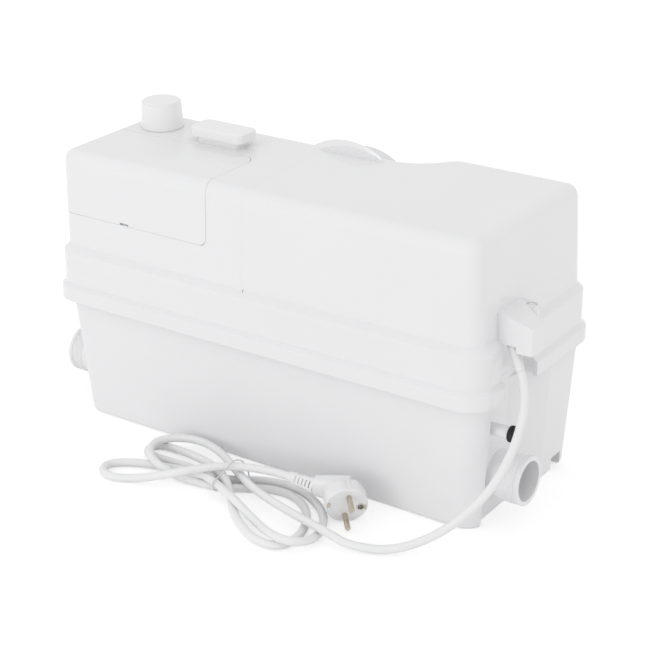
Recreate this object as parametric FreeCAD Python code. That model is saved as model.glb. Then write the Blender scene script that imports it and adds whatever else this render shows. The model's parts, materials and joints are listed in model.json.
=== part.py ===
import FreeCAD, Part
import math
import os

# Sewage lifting station: a plastic collecting tank with a macerating pump, a glossy lid over the
# motor, side and rear inlets, a capped discharge, and a mains lead that lies bundled in front.
# Millimetres. X runs along the length towards the cord end, the long front faces -Y, Z is up.
# The origin is on the floor, midway along the length and the narrow depth.

V = FreeCAD.Vector
X_AXIS, Y_AXIS, Z_AXIS = V(1, 0, 0), V(0, 1, 0), V(0, 0, 1)

# Plan of the lid's rim, the widest outline
rim_half_length = 230.0
rim_half_depth = 85.1
rear_bay_y = 118.0            # the motor bay at the cord end reaches further back
rim_corner_r = 25.0
step_start_x = 44.0           # the back steps out to the motor bay in an S between these
step_end_x = 106.0

# Heights of the lid
rim_bottom_z = 118.6
rim_top_z = 131.0
band_foot_z = 134.6
band_top_z = 165.5
wall_foot_z = 171.0
lid_top_z = 260.8

# How far each step of the lid stands in from the rim
band_inset = 4.0
wall_inset = 9.5
top_inset = 13.2
lid_wall = 3.0
lid_edge_r = 11.6
step_edge_r = 1.4

# Tank
tank_foot_half_x = 212.5
tank_foot_right_x = 218.4
tank_foot_half_y = 68.5
tank_foot_rear_y = 101.5
tank_flare = 9.3              # how far each side leans out up to the flange
tank_top_z = 124.0
tank_wall = 3.5
tank_step_on = 5.0            # the tank's step stands this much nearer the cord end
tank_corner_r = 20.0
flange_z = 121.0
flange_t = 5.0
flange_gap = 1.0              # between the flange and the inside of the lid's rim

# Notch in the foot at the rear right corner
notch_depth = 12.0
notch_y0 = 65.0
notch_w = 17.0
notch_h = 13.0

# Recess in the cord end, in the tank wall and in the lid's skirt
recess_y0 = -56.5
recess_y1 = 9.6
recess_foot_x = 210.6
recess_top_x = 213.4
recess_top_z = 167.0
recess_edge_r = 5.0
skirt_recess_y0 = -44.5
ramp_y0 = -7.5                # the tank's recess runs out in a ramp between these
ramp_y1 = 46.0
pocket_wall = 2.5             # of the lid's skirt round the recess

# Side inlets with a coupling thread
inlet_y = -29.0
inlet_z = 41.0
inlet_bore_r = 17.8
inlet_tube_r = 20.8
inlet_plain = 15.6            # of the tube, between the boss and the thread
thread_root_r = 21.1
thread_r = 21.8
thread_pitch = 2.3
thread_turns = 5
thread_lip = 3.2
inlet_boss_r = 27.0
inlet_boss_t = 5.0

# Drain spigot and its rubber cap
drain_y = -45.5
drain_z = 90.0
drain_r = 5.6
drain_bore_r = 3.0
drain_end_x = 240.5
drain_cap_r = 6.9
drain_cap_grip = 4.2          # how far the cap sits on the spigot
drain_cap_end = 1.5

# Discharge riser and its cap at the left end
riser_inset = 27.5            # in from the tank's left foot
riser_y = 32.3
riser_r = 16.0
riser_bore_r = 13.0
riser_rise = 20.2             # above the lid
riser_flange_w = 8.0
cap_foot_r = 19.9
cap_top_r = 18.3
cap_rise = 24.2
cap_disc_r = 17.4
cap_disc_t = 1.4

# Vent with its filter
vent_x = -106.4
vent_y = 24.0
vent_cap_x = 59.0
vent_cap_y = 28.5
vent_rise = 14.4              # the cap's top above the lid
vent_cap_t = 8.4
vent_base_x = 46.8
vent_base_y = 22.2
vent_neck_inset = 4.0         # the neck through the lid, in from the base's outside
vent_wall = 2.0
vent_corner_r = 5.5
vent_neck_depth = 8.0
vent_filter_h = 9.5
vent_filter_gap = 0.2
vent_cap_gap = 0.4

# Access cover over the valve end
cover_right_x = -53.3
cover_back_y = 4.6
cover_foot_z = 202.0
cover_corner_r = 16.0
cover_foot_corner_r = 7.0
cover_t = 2.6
cover_seam = 0.3
pry_x = -146.0
pry_w = 10.0
pry_h = 2.2
opening_x0 = -150.0
opening_x1 = -75.0
opening_y0 = -56.0
opening_y1 = -14.0
ledge_t = 2.4                 # what the lid keeps under the cover
peg_places = [(-200.0, -40.0), (-64.0, -56.0)]
peg_r = 2.5
peg_length = 6.0

# Rear inlet for the pan
pan_x = -4.0
pan_z = 198.0
pan_collar_r = 69.0
pan_collar_y0 = 55.1
pan_collar_y1 = 74.5
pan_front_x = 13.0            # the collar's front ring lies nearer the cord end
pan_front_z = 195.5
pan_front_r = 74.0
pan_spigot_r = 50.0
pan_spigot_bore_r = 46.5
pan_bend_r = 58.0
pan_spigot_y = 99.0
sleeve_r = 54.0
sleeve_y0 = 82.0
sleeve_y1 = 110.0
sleeve_lip_r = 45.0
clamp_y0 = 86.0
clamp_w = 9.0
clamp_t = 0.9

# Hood over the cord's outlet
hood_x0 = 219.2
hood_x1 = 252.3
hood_y0 = -43.5
hood_y1 = -22.0
hood_crest_z = 194.3
hood_slope = 0.272
hood_notch_x = 237.4
hood_notch_z = 167.3
hood_foot_z = 162.0
hood_wall = 1.6
hood_edge_r = 1.5
hood_cheek_y = -18.6          # the roof narrows from its nose to the lug between these
hood_cheek_x = 238.5
hood_lug_side_x = 226.5
lug_x = 231.0
lug_y = -7.4
lug_r = 6.4
lug_z = 181.0
lug_boss_r = 4.5
hood_screw_r = 4.2
hood_screw_depth = 2.9
hood_screw_length = 14.0
gland_z = 180.0
gland_neck_r = 4.4
gland_r0 = 4.8
gland_r1 = 5.2

# Top plate that closes the tank
gasket_t = 2.0
gasket_w = 4.0
plate_t = 4.0
plate_gap = 0.6
lip_w = 3.0
ledge_inset = 19.0
screw_inset = 14.5
screw_r = 2.0
screw_head_r = 3.9
screw_head_t = 2.6
plate_screw_length = 9.5
motor_screw_length = 12.0

# Pump and motor, on one upright shaft
pump_x = 150.0
pump_y = 30.0
shaft_r = 5.0
volute_r = 38.0
volute_z0 = 14.0
volute_z1 = 44.0
volute_wall = 3.6
suction_r = 17.0
neck_r = 14.0
neck_bore_r = 11.0
neck_y = 46.0
neck_z = 30.0
neck_end_x = 96.0
impeller_r = 31.0
vanes = 5
cutter_r = 24.0
cutter_t = 5.0
cutter_blade_r = 16.4
column_r = 24.0
column_bore_r = 20.0
column_flange_r = 40.0
column_flange_t = 4.0
motor_r = 58.0
motor_wall = 2.5
motor_foot_t = 6.0
motor_top_z = 246.0
motor_ear_r = 64.0
rotor_r = 28.0
rotor_z0 = 160.0
rotor_z1 = 215.0
shield_gap = 11.0             # from the rotor up to the end shield
shield_t = 4.0
air_gap = 0.6
bearing_r = 14.0
bearing_t = 9.0

# Discharge line and its non-return valve
valve_r = 28.5
valve_bore_r = 25.5
valve_seat_z = 78.0
valve_roof_z = 116.0
valve_foot_z = 60.0
flap_r = 16.5
flap_t = 3.0
flap_hinge = 20.5
flap_gap = 0.5
pin_r = 1.5
hose_r = 17.5
hose_bend_r = 30.0
hose_mid = [(40.0, 46.0), (-60.0, 32.3)]
clamp_band_w = 9.0

# Inlet flaps inside the tank
seat_r = 24.0
seat_reach = 8.0
inlet_flap_r = 21.0
inlet_flap_t = 2.5
inlet_hinge = 27.5

# Level sensing
bell_x = -112.0
bell_y = -34.0
bell_r = 15.0
bell_bore_r = 12.5
bell_foot_z = 18.0
switch_r = 20.0
switch_z1 = 158.0
plunger_r = 3.0
plunger_z1 = 164.0

# Electrics
control_x0 = -20.0
control_x1 = 62.0
control_y0 = -69.8
control_y1 = -57.0
control_z1 = 222.0
control_wall = 2.0
capacitor_x = 88.0
capacitor_y = -48.0
capacitor_r = 16.0
capacitor_h = 58.0

# Mains lead: it leaves the hood, hangs to the floor and ends in a tied hank with the plug
cord_r = 3.7
lead_points = [(230.8, -36.4, 166.0), (236.6, -38.0, 152.5), (246.0, -41.5, 134.0),
               (251.0, -52.0, 111.0), (252.0, -70.0, 88.0), (245.0, -87.0, 62.0),
               (229.0, -101.0, 38.0), (205.0, -114.0, 14.5), (178.0, -137.0, 4.0),
               (146.0, -150.0, 5.6)]
hank_points = [
    # on to the tie, over both right-hand loops
    (146.0, -150.0, 5.6), (130.0, -151.6, 11.0), (113.4, -149.8, 13.0), (85.5, -142.8, 12.5),
    (55.8, -134.3, 12.1), (28.7, -124.6, 12.0), (1.6, -109.5, 12.0),
    # rear left-hand loop
    (-32.8, -87.7, 12.0), (-58.4, -79.6, 12.0), (-76.7, -82.2, 12.0), (-90.4, -90.7, 12.0),
    (-96.7, -103.8, 12.0), (-91.7, -119.2, 12.0), (-77.1, -132.0, 12.0), (-59.1, -137.4, 10.2),
    (-43.0, -133.4, 3.9), (-24.3, -131.1, 3.9), (-6.7, -128.7, 3.9), (7.4, -122.0, 3.9),
    # first right-hand loop
    (22.0, -112.3, 3.9), (38.2, -104.8, 3.9), (58.1, -104.5, 3.9), (79.6, -116.4, 3.9),
    (95.5, -137.9, 3.9), (102.8, -162.8, 3.9), (96.6, -181.9, 3.9), (76.2, -183.9, 3.9),
    (53.1, -172.7, 3.9), (31.8, -156.4, 3.9), (18.9, -142.9, 3.9), (9.7, -133.4, 8.4),
    (1.4, -126.0, 12.0),
    # middle left-hand loop, a narrow one
    (-15.7, -114.8, 12.0), (-39.6, -105.7, 10.7), (-69.3, -95.6, 5.6), (-92.3, -93.6, 3.9),
    (-100.6, -96.4, 3.9), (-104.2, -104.0, 3.9), (-100.6, -111.6, 3.9), (-91.5, -115.2, 3.9),
    (-77.9, -114.8, 3.9), (-47.0, -112.9, 3.9), (-26.9, -115.2, 3.9), (-8.3, -114.0, 3.9),
    (9.2, -102.3, 3.9),
    # second right-hand loop
    (27.6, -93.9, 3.9), (50.2, -91.5, 3.9), (75.8, -99.6, 3.9), (99.5, -117.6, 3.9),
    (111.5, -138.8, 3.9), (116.0, -158.2, 5.6), (114.3, -175.5, 10.9), (104.4, -182.7, 13.0),
    (87.0, -179.0, 11.4), (60.0, -161.8, 5.6), (37.7, -153.0, 9.6), (22.9, -147.8, 13.0),
    (6.5, -140.1, 12.5), (-8.4, -133.3, 12.1),
    # front left-hand loop
    (-20.8, -129.8, 12.3), (-30.0, -129.0, 12.3), (-43.8, -124.2, 7.4), (-58.6, -122.8, 3.9),
    (-73.7, -126.1, 3.9), (-92.4, -131.7, 3.9), (-108.3, -140.6, 3.9), (-116.1, -150.8, 3.9),
    (-111.4, -162.4, 3.9), (-95.6, -166.4, 3.9), (-76.5, -155.9, 3.9), (-55.8, -151.1, 10.2),
    (-35.0, -148.3, 19.1),
    # over everything at the tie and on to the plug
    (-21.4, -133.8, 20.7), (-7.2, -120.0, 20.7), (10.1, -110.2, 20.7), (28.4, -106.6, 21.6),
    (43.0, -105.2, 22.1), (55.2, -105.5, 22.3)]
plug_face = (119.7, -113.4, 18.3)
plug_pin_way = (0.6327, -0.7402, -0.2253)     # the way the pins point
plug_r = 18.5
plug_thick = 18.0
plug_cord_mid = 9.0
plug_pin_r = 2.4
plug_pin_length = 19.0
plug_pin_space = 19.0
plug_earth_r = 2.6
plug_earth_x = -12.0          # the hole for the socket's earth pin, on the side away from the lead
plug_arm_r = 8.3
relief_length = 30.0
relief_r0 = 4.9
relief_r1 = 7.3
relief_core_r = 4.3
relief_windows = 5            # on each of its four sides
relief_window_pitch = 4.6
relief_window_w = 3.4
tie_r = 0.6
tie_x = 3.0
tie_y = -114.0
tie_turn = -10.0              # the tie's plane stands square to this heading
tie_arch = [(15.6, 1.0), (15.6, 8.0), (10.0, 21.5), (2.0, 27.0), (-4.5, 27.0), (-15.0, 20.6),
            (-22.0, 18.0), (-27.5, 17.0), (-28.5, 11.0), (-25.0, 6.2), (-18.0, 4.6)]

fit = 0.3                     # gap between curved faces of neighbouring pieces
running = 0.05                # radial clearance of turning fits

gasket_z = flange_z + flange_t
plate_z = gasket_z + gasket_t
plate_top = plate_z + plate_t
motor_z = plate_top + column_flange_t
shield_z = rotor_z1 + shield_gap
cutter_z = volute_z0 - cutter_t + 0.5
right_wall_x = recess_foot_x + (recess_top_x - recess_foot_x) * inlet_z / recess_top_z
left_wall_x = tank_foot_half_x + tank_flare * inlet_z / flange_z
inlet_reach_x = right_wall_x + inlet_boss_t + inlet_plain + thread_turns * thread_pitch + thread_lip
drain_cap_x0 = drain_end_x - drain_cap_grip
drain_cap_x1 = drain_end_x + drain_cap_end
riser_x = -(tank_foot_half_x - riser_inset)
riser_top_z = lid_top_z + riser_rise
cap_top_z = lid_top_z + cap_rise
vent_cap_z = lid_top_z + vent_rise - vent_cap_t
vent_base_top = vent_cap_z - 0.2
vent_neck_x = vent_base_x / 2 - vent_neck_inset
vent_neck_y = vent_base_y / 2 - vent_neck_inset
vent_room_x = vent_neck_x - vent_wall
vent_room_y = vent_neck_y - vent_wall

def make_out(shape, name):
    """Writes one piece to its own file."""
    os.makedirs("parts", exist_ok=True)
    if not shape.isValid():
        print("INVALID", name)
    shape.exportStep("parts/" + name + ".step")
    box = shape.BoundBox
    print(f"{name:20s} solids {len(shape.Solids):2d} volume {shape.Volume / 1000:9.2f} cm3 "
          f"x {box.XMin:7.1f} {box.XMax:7.1f} y {box.YMin:7.1f} {box.YMax:7.1f} "
          f"z {box.ZMin:6.1f} {box.ZMax:6.1f}")

def arc(centre, radius, start, middle, end, z):
    """An arc through three angles in degrees, in a level plane."""
    points = [V(centre[0] + radius * math.cos(math.radians(a)),
                centre[1] + radius * math.sin(math.radians(a)), z) for a in (start, middle, end)]
    return Part.Arc(*points).toShape()

def plan(x0, x1, y0, y_left, y_right, corner_r, inset, z, step_on=0.0):
    """The housing's plan, a rectangle with a deeper bay at its right back, set in by inset."""
    rise = y_right - y_left
    run = step_end_x - step_start_x
    swing_r = (run * run + rise * rise) / (4 * rise)
    swing = math.degrees(math.asin(run / 2 / swing_r))
    r = corner_r - inset
    outer = arc((step_end_x + step_on, y_right - swing_r), swing_r - inset,
                90, 90 + swing / 2, 90 + swing, z)
    inner = arc((step_start_x + step_on, y_left + swing_r), swing_r + inset,
                -90 + swing, -90 + swing / 2, -90, z)
    corners = [arc((x1 - corner_r, y0 + corner_r), r, -90, -45, 0, z),
               arc((x1 - corner_r, y_right - corner_r), r, 0, 45, 90, z),
               outer, inner,
               arc((x0 + corner_r, y_left - corner_r), r, 90, 135, 180, z),
               arc((x0 + corner_r, y0 + corner_r), r, 180, 225, 270, z)]
    edges = []
    for k, corner in enumerate(corners):
        before = corners[k - 1]
        start = before.valueAt(before.LastParameter)
        end = corner.valueAt(corner.FirstParameter)
        if start.distanceToPoint(end) > 1e-6:
            edges.append(Part.LineSegment(start, end).toShape())
        edges.append(corner)
    return Part.Wire(edges)

def wall_lean():
    """How far the lid's wall leans in for each millimetre of its height."""
    return (top_inset - wall_inset) / (lid_top_z - wall_foot_z)

def lid_plan(inset, z):
    """The lid's plan; above its shoulders the left end stands upright."""
    upright = max(0.0, z - wall_foot_z) * wall_lean()
    return plan(-rim_half_length - upright, rim_half_length, -rim_half_depth, rim_half_depth,
                rear_bay_y, rim_corner_r, inset, z)

def tank_plan(z, inset=0.0):
    lean = tank_flare * z / flange_z
    return plan(-tank_foot_half_x - lean, tank_foot_right_x + lean * 0.7, -tank_foot_half_y - lean,
                tank_foot_half_y + lean, tank_foot_rear_y + lean, tank_corner_r + lean * 0.3,
                inset, z, tank_step_on)

def between(low, high):
    """A solid between two outlines of the same make."""
    return Part.makeLoft([low, high], True, True)

def slab(inset, z0, z1):
    """An upright-sided solid in the lid's plan, set in by inset."""
    return Part.Face(lid_plan(inset, z0)).extrude(V(0, 0, z1 - z0))

def box(x0, x1, y0, y1, z0, z1):
    return Part.makeBox(x1 - x0, y1 - y0, z1 - z0, V(x0, y0, z0))

def rod(x, y, z, radius, length, axis=Z_AXIS):
    return Part.makeCylinder(radius, length, V(x, y, z), axis)

def ring(x, y, z, radius, bore, length, axis=Z_AXIS):
    return rod(x, y, z, radius, length, axis).cut(rod(x, y, z, bore, length, axis))

def cone(x, y, z, r0, r1, length, axis=Z_AXIS):
    return Part.makeCone(r0, r1, length, V(x, y, z), axis)

def block(x0, x1, y0, y1, z0, z1, radius):
    """A box with its upright edges rounded."""
    solid = box(x0, x1, y0, y1, z0, z1)
    upright = [e for e in solid.Edges if abs(e.Vertexes[0].Z - e.Vertexes[1].Z) > 1e-6]
    return solid.makeFillet(radius, upright)

def edges_at(shape, z, tolerance=0.02):
    """The edges that lie level at one height."""
    return [e for e in shape.Edges
            if abs(e.BoundBox.ZMin - z) < tolerance and abs(e.BoundBox.ZMax - z) < tolerance]

def lid_outside():
    """The lid's outer form: rim, shoulder, band, shoulder, leaning wall and rounded top."""
    steps = [(rim_bottom_z, 0.0), (rim_top_z, 0.0), (band_foot_z, band_inset),
             (band_top_z, band_inset), (wall_foot_z, wall_inset)]
    solid = between(lid_plan(wall_inset, wall_foot_z), lid_plan(top_inset, lid_top_z))
    solid = solid.makeFillet(lid_edge_r, edges_at(solid, lid_top_z))
    for (z0, in0), (z1, in1) in zip(steps, steps[1:]):
        step = slab(in0, z0, z1) if in0 == in1 else between(lid_plan(in0, z0), lid_plan(in1, z1))
        solid = solid.fuse(step)
    solid = solid.removeSplitter()
    for z in (rim_top_z, band_top_z):
        solid = solid.makeFillet(step_edge_r, edges_at(solid, z))
    return solid

def lid_inside(depth):
    """The space within the lid's wall, depth in from the outside."""
    top = lid_top_z - depth
    foot_z = band_top_z - 1.5
    foot_inset = wall_inset + depth - (wall_foot_z - foot_z) * wall_lean()
    head_inset = top_inset + depth - (lid_top_z - top) * wall_lean()
    solid = between(lid_plan(foot_inset, foot_z), lid_plan(head_inset, top))
    solid = solid.makeFillet(lid_edge_r - depth, edges_at(solid, top))
    band = slab(band_inset + depth, rim_top_z - 1.5, foot_z)
    return solid.fuse(band)

def collar_ring(y, wall):
    """The round of the saddle over the rear inlet at one depth, less a wall."""
    share = (y - pan_collar_y0) / (pan_collar_y1 - pan_collar_y0)
    radius = pan_front_r + (pan_collar_r - pan_front_r) * share - wall
    centre = V(pan_front_x + (pan_x - pan_front_x) * share, y,
               pan_front_z + (pan_z - pan_front_z) * share)
    return Part.Wire(Part.makeCircle(radius, centre, Y_AXIS))

def pan_collar(wall, y0, y1):
    return between(collar_ring(y0, wall), collar_ring(y1, wall))

def recess_x(z):
    """Where the recess's leaning floor stands at a height."""
    return recess_foot_x + (recess_top_x - recess_foot_x) * z / recess_top_z

def recess_ramp(deeper, z0, z1):
    """What the ramp at the recess's rear side takes off the tank."""
    def outline(z):
        floor = recess_x(z) - deeper
        skin = tank_foot_right_x + tank_flare * 0.7 * z / flange_z - deeper
        far = rim_half_length + 30
        corners = [V(floor, ramp_y0 - 20, z), V(floor, ramp_y0, z), V(skin, ramp_y1, z),
                   V(far, ramp_y1, z), V(far, ramp_y0 - 20, z)]
        return Part.makePolygon(corners + corners[:1])
    return between(outline(z0), outline(z1))

def foot_notch(grow):
    """The notch in the foot at the rear right corner, grown by a wall."""
    return box(tank_foot_right_x - notch_depth - grow, rim_half_length, notch_y0 - grow,
               notch_y0 + notch_w + grow, -1, notch_h + grow)

def recess(y0, y1, deeper, z0, z1, radius):
    """The upright channel in the cord end, cut in from outside."""
    far = rim_half_length + 30
    outline = [V(recess_x(z0) - deeper, y0, z0), V(recess_x(z1) - deeper, y0, z1),
               V(far, y0, z1), V(far, y0, z0)]
    solid = Part.Face(Part.makePolygon(outline + outline[:1])).extrude(V(0, y1 - y0, 0))
    inner = [e for e in solid.Edges
             if e.BoundBox.XMax < recess_top_x + 1 and e.BoundBox.ZLength > (z1 - z0) * 0.9]
    return solid.makeFillet(radius, inner)

def cover_region(gap):
    """Where the access cover lies: the valve end's top, front and end wall."""
    right, back, foot = cover_right_x - gap, cover_back_y - gap, cover_foot_z + gap
    above = lid_top_z + 20
    out = rim_half_length + 20
    deep = box(-out, right, -out, back, 0, above)
    edge = [e for e in deep.Edges if e.BoundBox.ZLength > 50 and e.BoundBox.XMin > right - 1
            and e.BoundBox.YMin > back - 1]
    deep = deep.makeFillet(cover_corner_r, edge)
    tall = box(-out, right, -out, back, foot, above)
    edge = [e for e in tall.Edges if e.BoundBox.YLength > 50 and e.BoundBox.XMin > right - 1
            and e.BoundBox.ZMax < foot + 1]
    tall = tall.makeFillet(cover_foot_corner_r, edge)
    return deep.common(tall)

def ledge_depth():
    """How deep the lid is set in below the access cover."""
    return cover_t + fit

def lid_shell():
    outer = lid_outside().fuse(pan_collar(0, pan_collar_y0, pan_collar_y1))
    outer = outer.removeSplitter()
    space = lid_inside(lid_wall).cut(cover_region(-lid_wall))
    space = space.fuse(lid_inside(ledge_depth() + ledge_t))
    space = space.fuse(pan_collar(lid_wall, pan_collar_y0 + lid_wall,
                                  pan_collar_y1 - lid_wall - 1.5))
    skirt = slab(lid_wall, rim_bottom_z - 5, rim_top_z - 1.5)
    shell = outer.cut(space).cut(skirt)
    shell = shell.cut(cover_region(0).cut(lid_inside(ledge_depth())))
    shell = shell.cut(recess(skirt_recess_y0, recess_y1, 0, 0, recess_top_z, recess_edge_r))
    pocket = recess(skirt_recess_y0 - pocket_wall, recess_y1 + pocket_wall, pocket_wall,
                    gasket_z + fit, recess_top_z + pocket_wall, recess_edge_r)
    pocket = pocket.cut(recess(skirt_recess_y0, recess_y1, 0, 0, recess_top_z, recess_edge_r))
    shell = shell.fuse(pocket.common(lid_inside(lid_wall - 0.5)))
    shell = shell.cut(rod(riser_x, riser_y, lid_top_z - 20, riser_r + 0.6, 30))
    shell = shell.cut(vent_block(vent_neck_x + vent_cap_gap, vent_neck_y + vent_cap_gap,
                                 lid_top_z - 20, lid_top_z + 5, 3.4))
    shell = shell.cut(box(opening_x0, opening_x1, opening_y0, opening_y1, lid_top_z - 30,
                          lid_top_z + 5))
    for x, y in peg_places:
        shell = shell.cut(rod(x, y, lid_top_z - 20, peg_r + fit, 30))
    shell = shell.cut(rod(pan_x, pan_collar_y0, pan_z, pan_spigot_r + 1.5, 40, Y_AXIS))
    boss = rod(lug_x, lug_y, recess_top_z + 1.0, lug_boss_r, lug_z - recess_top_z - 1.0)
    arm = box(hood_x0 - 1.5, lug_x, lug_y - lug_boss_r, lug_y + lug_boss_r,
              recess_top_z + 1.0, lug_z)
    shell = shell.fuse(boss.fuse(arm).cut(lid_inside(lid_wall)))
    shell = shell.cut(rod(lug_x, lug_y, lug_z - 11, 1.4, 12))
    mouth, way, length = gland_boot()
    shell = shell.cut(rod(hood_x0 - 12, (mouth + way * length).y, gland_z, gland_neck_r + fit, 20,
                          X_AXIS))
    return shell.removeSplitter()

def access_cover():
    cover = lid_outside().common(cover_region(cover_seam)).cut(lid_inside(cover_t))
    slot = box(pry_x - pry_w / 2, pry_x + pry_w / 2, -rim_half_depth - 10, -rim_half_depth + 30,
               cover_foot_z - 5, cover_foot_z + cover_seam + pry_h)
    cover = cover.cut(slot)
    for x, y in peg_places:
        cover = cover.fuse(rod(x, y, lid_top_z - cover_t - peg_length, peg_r, peg_length + 0.5))
    return cover.removeSplitter()

def hood():
    """The cord outlet's cover: a small roof with a screw lug, open below."""
    def prism(corners, z0, z1):
        points = [V(x, y, z0) for x, y in corners]
        return Part.Face(Part.makePolygon(points + points[:1])).extrude(V(0, 0, z1 - z0))
    def under_roof(drop, inset, low):
        main = [(hood_x0 - 4, hood_y0 + inset), (hood_x1 - inset, hood_y0 + inset),
                (hood_x1 - inset, hood_y1 - inset), (hood_cheek_x, hood_cheek_y - inset),
                (hood_lug_side_x, lug_y - inset), (hood_x0 - 4, lug_y - inset)]
        solid = prism(main, low, hood_crest_z + 5)
        roof = [V(hood_x0 - 5, -60, hood_crest_z - drop + hood_slope * 5.7),
                V(hood_x1 + 5, -60, hood_crest_z - drop - hood_slope * (hood_x1 + 4.3 - hood_x0)),
                V(hood_x1 + 5, -60, hood_crest_z + 30), V(hood_x0 - 5, -60, hood_crest_z + 30)]
        return solid.cut(Part.Face(Part.makePolygon(roof + roof[:1])).extrude(V(0, 80, 0)))
    outer = under_roof(0, 0, hood_foot_z)
    nose = [e for e in outer.Edges if e.BoundBox.XMin > hood_x1 - 1 and e.Length > 10]
    outer = outer.makeFillet(hood_edge_r, nose)
    outer = outer.cut(box(hood_x0 - 5, hood_notch_x, -60, 20, hood_foot_z - 1, hood_notch_z))
    lug = rod(lug_x, lug_y, lug_z, lug_r, 30).fuse(
        box(hood_x0 - 4, lug_x, lug_y - lug_r, lug_y + lug_r, lug_z, lug_z + 30))
    roof_z = hood_crest_z - hood_slope * (lug_x - hood_x0)
    lug = lug.cut(box(hood_x0 - 5, hood_x1, -30, 20, roof_z, roof_z + 40))
    outer = outer.fuse(lug)
    shell = outer.cut(under_roof(hood_wall, hood_wall, hood_foot_z - 1))
    shell = shell.cut(rod(lug_x, lug_y, lug_z - 1, 1.8, 30))
    shell = shell.cut(rod(lug_x, lug_y, roof_z - hood_screw_depth, hood_screw_r + fit, 10))
    shell = shell.cut(box(hood_x0 - 5, lug_x + lug_boss_r + 1, lug_y - lug_boss_r - fit, 20,
                          hood_foot_z - 1, lug_z))
    return shell.cut(lid_outside()).removeSplitter()

def side_inlet(direction, wall_x):
    """An inlet tube from inside the wall to its mouth, with boss, thread, lip and flap seat."""
    start = wall_x - seat_reach
    foot = inlet_reach_x - thread_lip - thread_turns * thread_pitch
    outline = [(start, 0), (start, seat_r), (wall_x - 0.5, seat_r), (wall_x - 0.5, inlet_boss_r),
               (wall_x + inlet_boss_t, inlet_tube_r)]
    outline += [(foot, inlet_tube_r)]
    for k in range(thread_turns):
        ridge = foot + k * thread_pitch
        outline += [(ridge, thread_root_r), (ridge + 0.35 * thread_pitch, thread_r),
                    (ridge + 0.5 * thread_pitch, thread_r),
                    (ridge + 0.85 * thread_pitch, thread_root_r)]
    outline += [(inlet_reach_x - thread_lip, thread_root_r), (inlet_reach_x - thread_lip, thread_r),
                (inlet_reach_x, thread_r), (inlet_reach_x, 0)]
    corners = [V(direction * x, inlet_y, inlet_z + r) for x, r in outline]
    profile = Part.Face(Part.makePolygon(corners + corners[:1]))
    solid = profile.revolve(V(0, inlet_y, inlet_z), X_AXIS, 360)
    bore = rod(direction * (start - 1), inlet_y, inlet_z, inlet_bore_r,
               inlet_reach_x - start + 2, X_AXIS * direction)
    return solid, bore

def ear_pair(x, y, z, size, apart, thick, down):
    """Two hinge ears with their pin hole, apart along Y."""
    ears = None
    for side in (-1, 1):
        low = y + side * apart / 2 - (thick if side < 0 else 0)
        ear = box(x - size, x + size, low, low + thick, z - down, z + size)
        ear = ear.cut(rod(x, low - 1, z, pin_r + running, thick + 2, Y_AXIS))
        ears = ear if ears is None else ears.fuse(ear)
    return ears

def inlet_hinge_x(direction):
    wall = right_wall_x if direction > 0 else left_wall_x
    return direction * (wall - seat_reach - flap_gap - inlet_flap_t / 2)

def tank():
    outer = between(tank_plan(0), tank_plan(flange_z))
    outer = outer.makeFillet(3.0, edges_at(outer, 0))
    space = between(tank_plan(tank_wall, tank_wall), tank_plan(flange_z, tank_wall))
    space = space.makeFillet(6.0, edges_at(space, tank_wall))
    deeper = recess(recess_y0 - tank_wall, ramp_y0, tank_wall, -5, flange_z + 10,
                    recess_edge_r + 2)
    deeper = deeper.fuse(recess_ramp(tank_wall, -5, flange_z + 10)).fuse(foot_notch(tank_wall))
    solid = outer.cut(space.cut(deeper))
    solid = solid.cut(recess_ramp(0, -5, flange_z))
    flange = slab(lid_wall + flange_gap, flange_z, gasket_z)
    hole = slab(ledge_inset, flange_z - 1, gasket_z + 1)
    wide = recess(skirt_recess_y0 - 15, recess_y1 + 15, 14, flange_z - 10, gasket_z + 10, 4)
    flange = flange.cut(hole.cut(wide))
    lip = slab(lid_wall + flange_gap, gasket_z, rim_top_z - 1.5 - fit)
    lip = lip.cut(slab(lid_wall + flange_gap + lip_w, gasket_z - 1, rim_top_z + 1))
    solid = solid.fuse(flange).fuse(lip)
    solid = solid.cut(recess(recess_y0, ramp_y0, 0, -5, flange_z, recess_edge_r))
    solid = solid.cut(recess(skirt_recess_y0 - 3.0, recess_y1 + 3.0, 3.0, gasket_z, rim_top_z + 9,
                             recess_edge_r))
    solid = solid.cut(recess(skirt_recess_y0, recess_y1, 0, flange_z - 1, gasket_z + 1,
                             recess_edge_r))
    for direction, wall_x in ((1, right_wall_x), (-1, left_wall_x)):
        tube, bore = side_inlet(direction, wall_x)
        hinge_x = inlet_hinge_x(direction)
        hinge_z = inlet_z + inlet_hinge
        ears = ear_pair(hinge_x, inlet_y, hinge_z, 3.5, 14.0, 3.0, 5.0)
        shelf = box(min(hinge_x + direction * 3.1, direction * (wall_x - 2)),
                    max(hinge_x + direction * 3.1, direction * (wall_x - 2)),
                    inlet_y - 10, inlet_y + 10, hinge_z - 4.5, hinge_z + 3.5)
        solid = solid.fuse(tube).fuse(ears).fuse(shelf).cut(bore)
    wall_x = recess_x(drain_z)
    solid = solid.fuse(rod(wall_x - 1, drain_y, drain_z, drain_r, drain_end_x - wall_x + 1, X_AXIS))
    solid = solid.cut(rod(wall_x - 12, drain_y, drain_z, drain_bore_r, 60, X_AXIS))
    solid = solid.cut(foot_notch(0))
    for x, y in screw_places():
        solid = solid.cut(rod(x, y, flange_z - 3, screw_r - 0.2, 12))
    return solid.removeSplitter()

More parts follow.
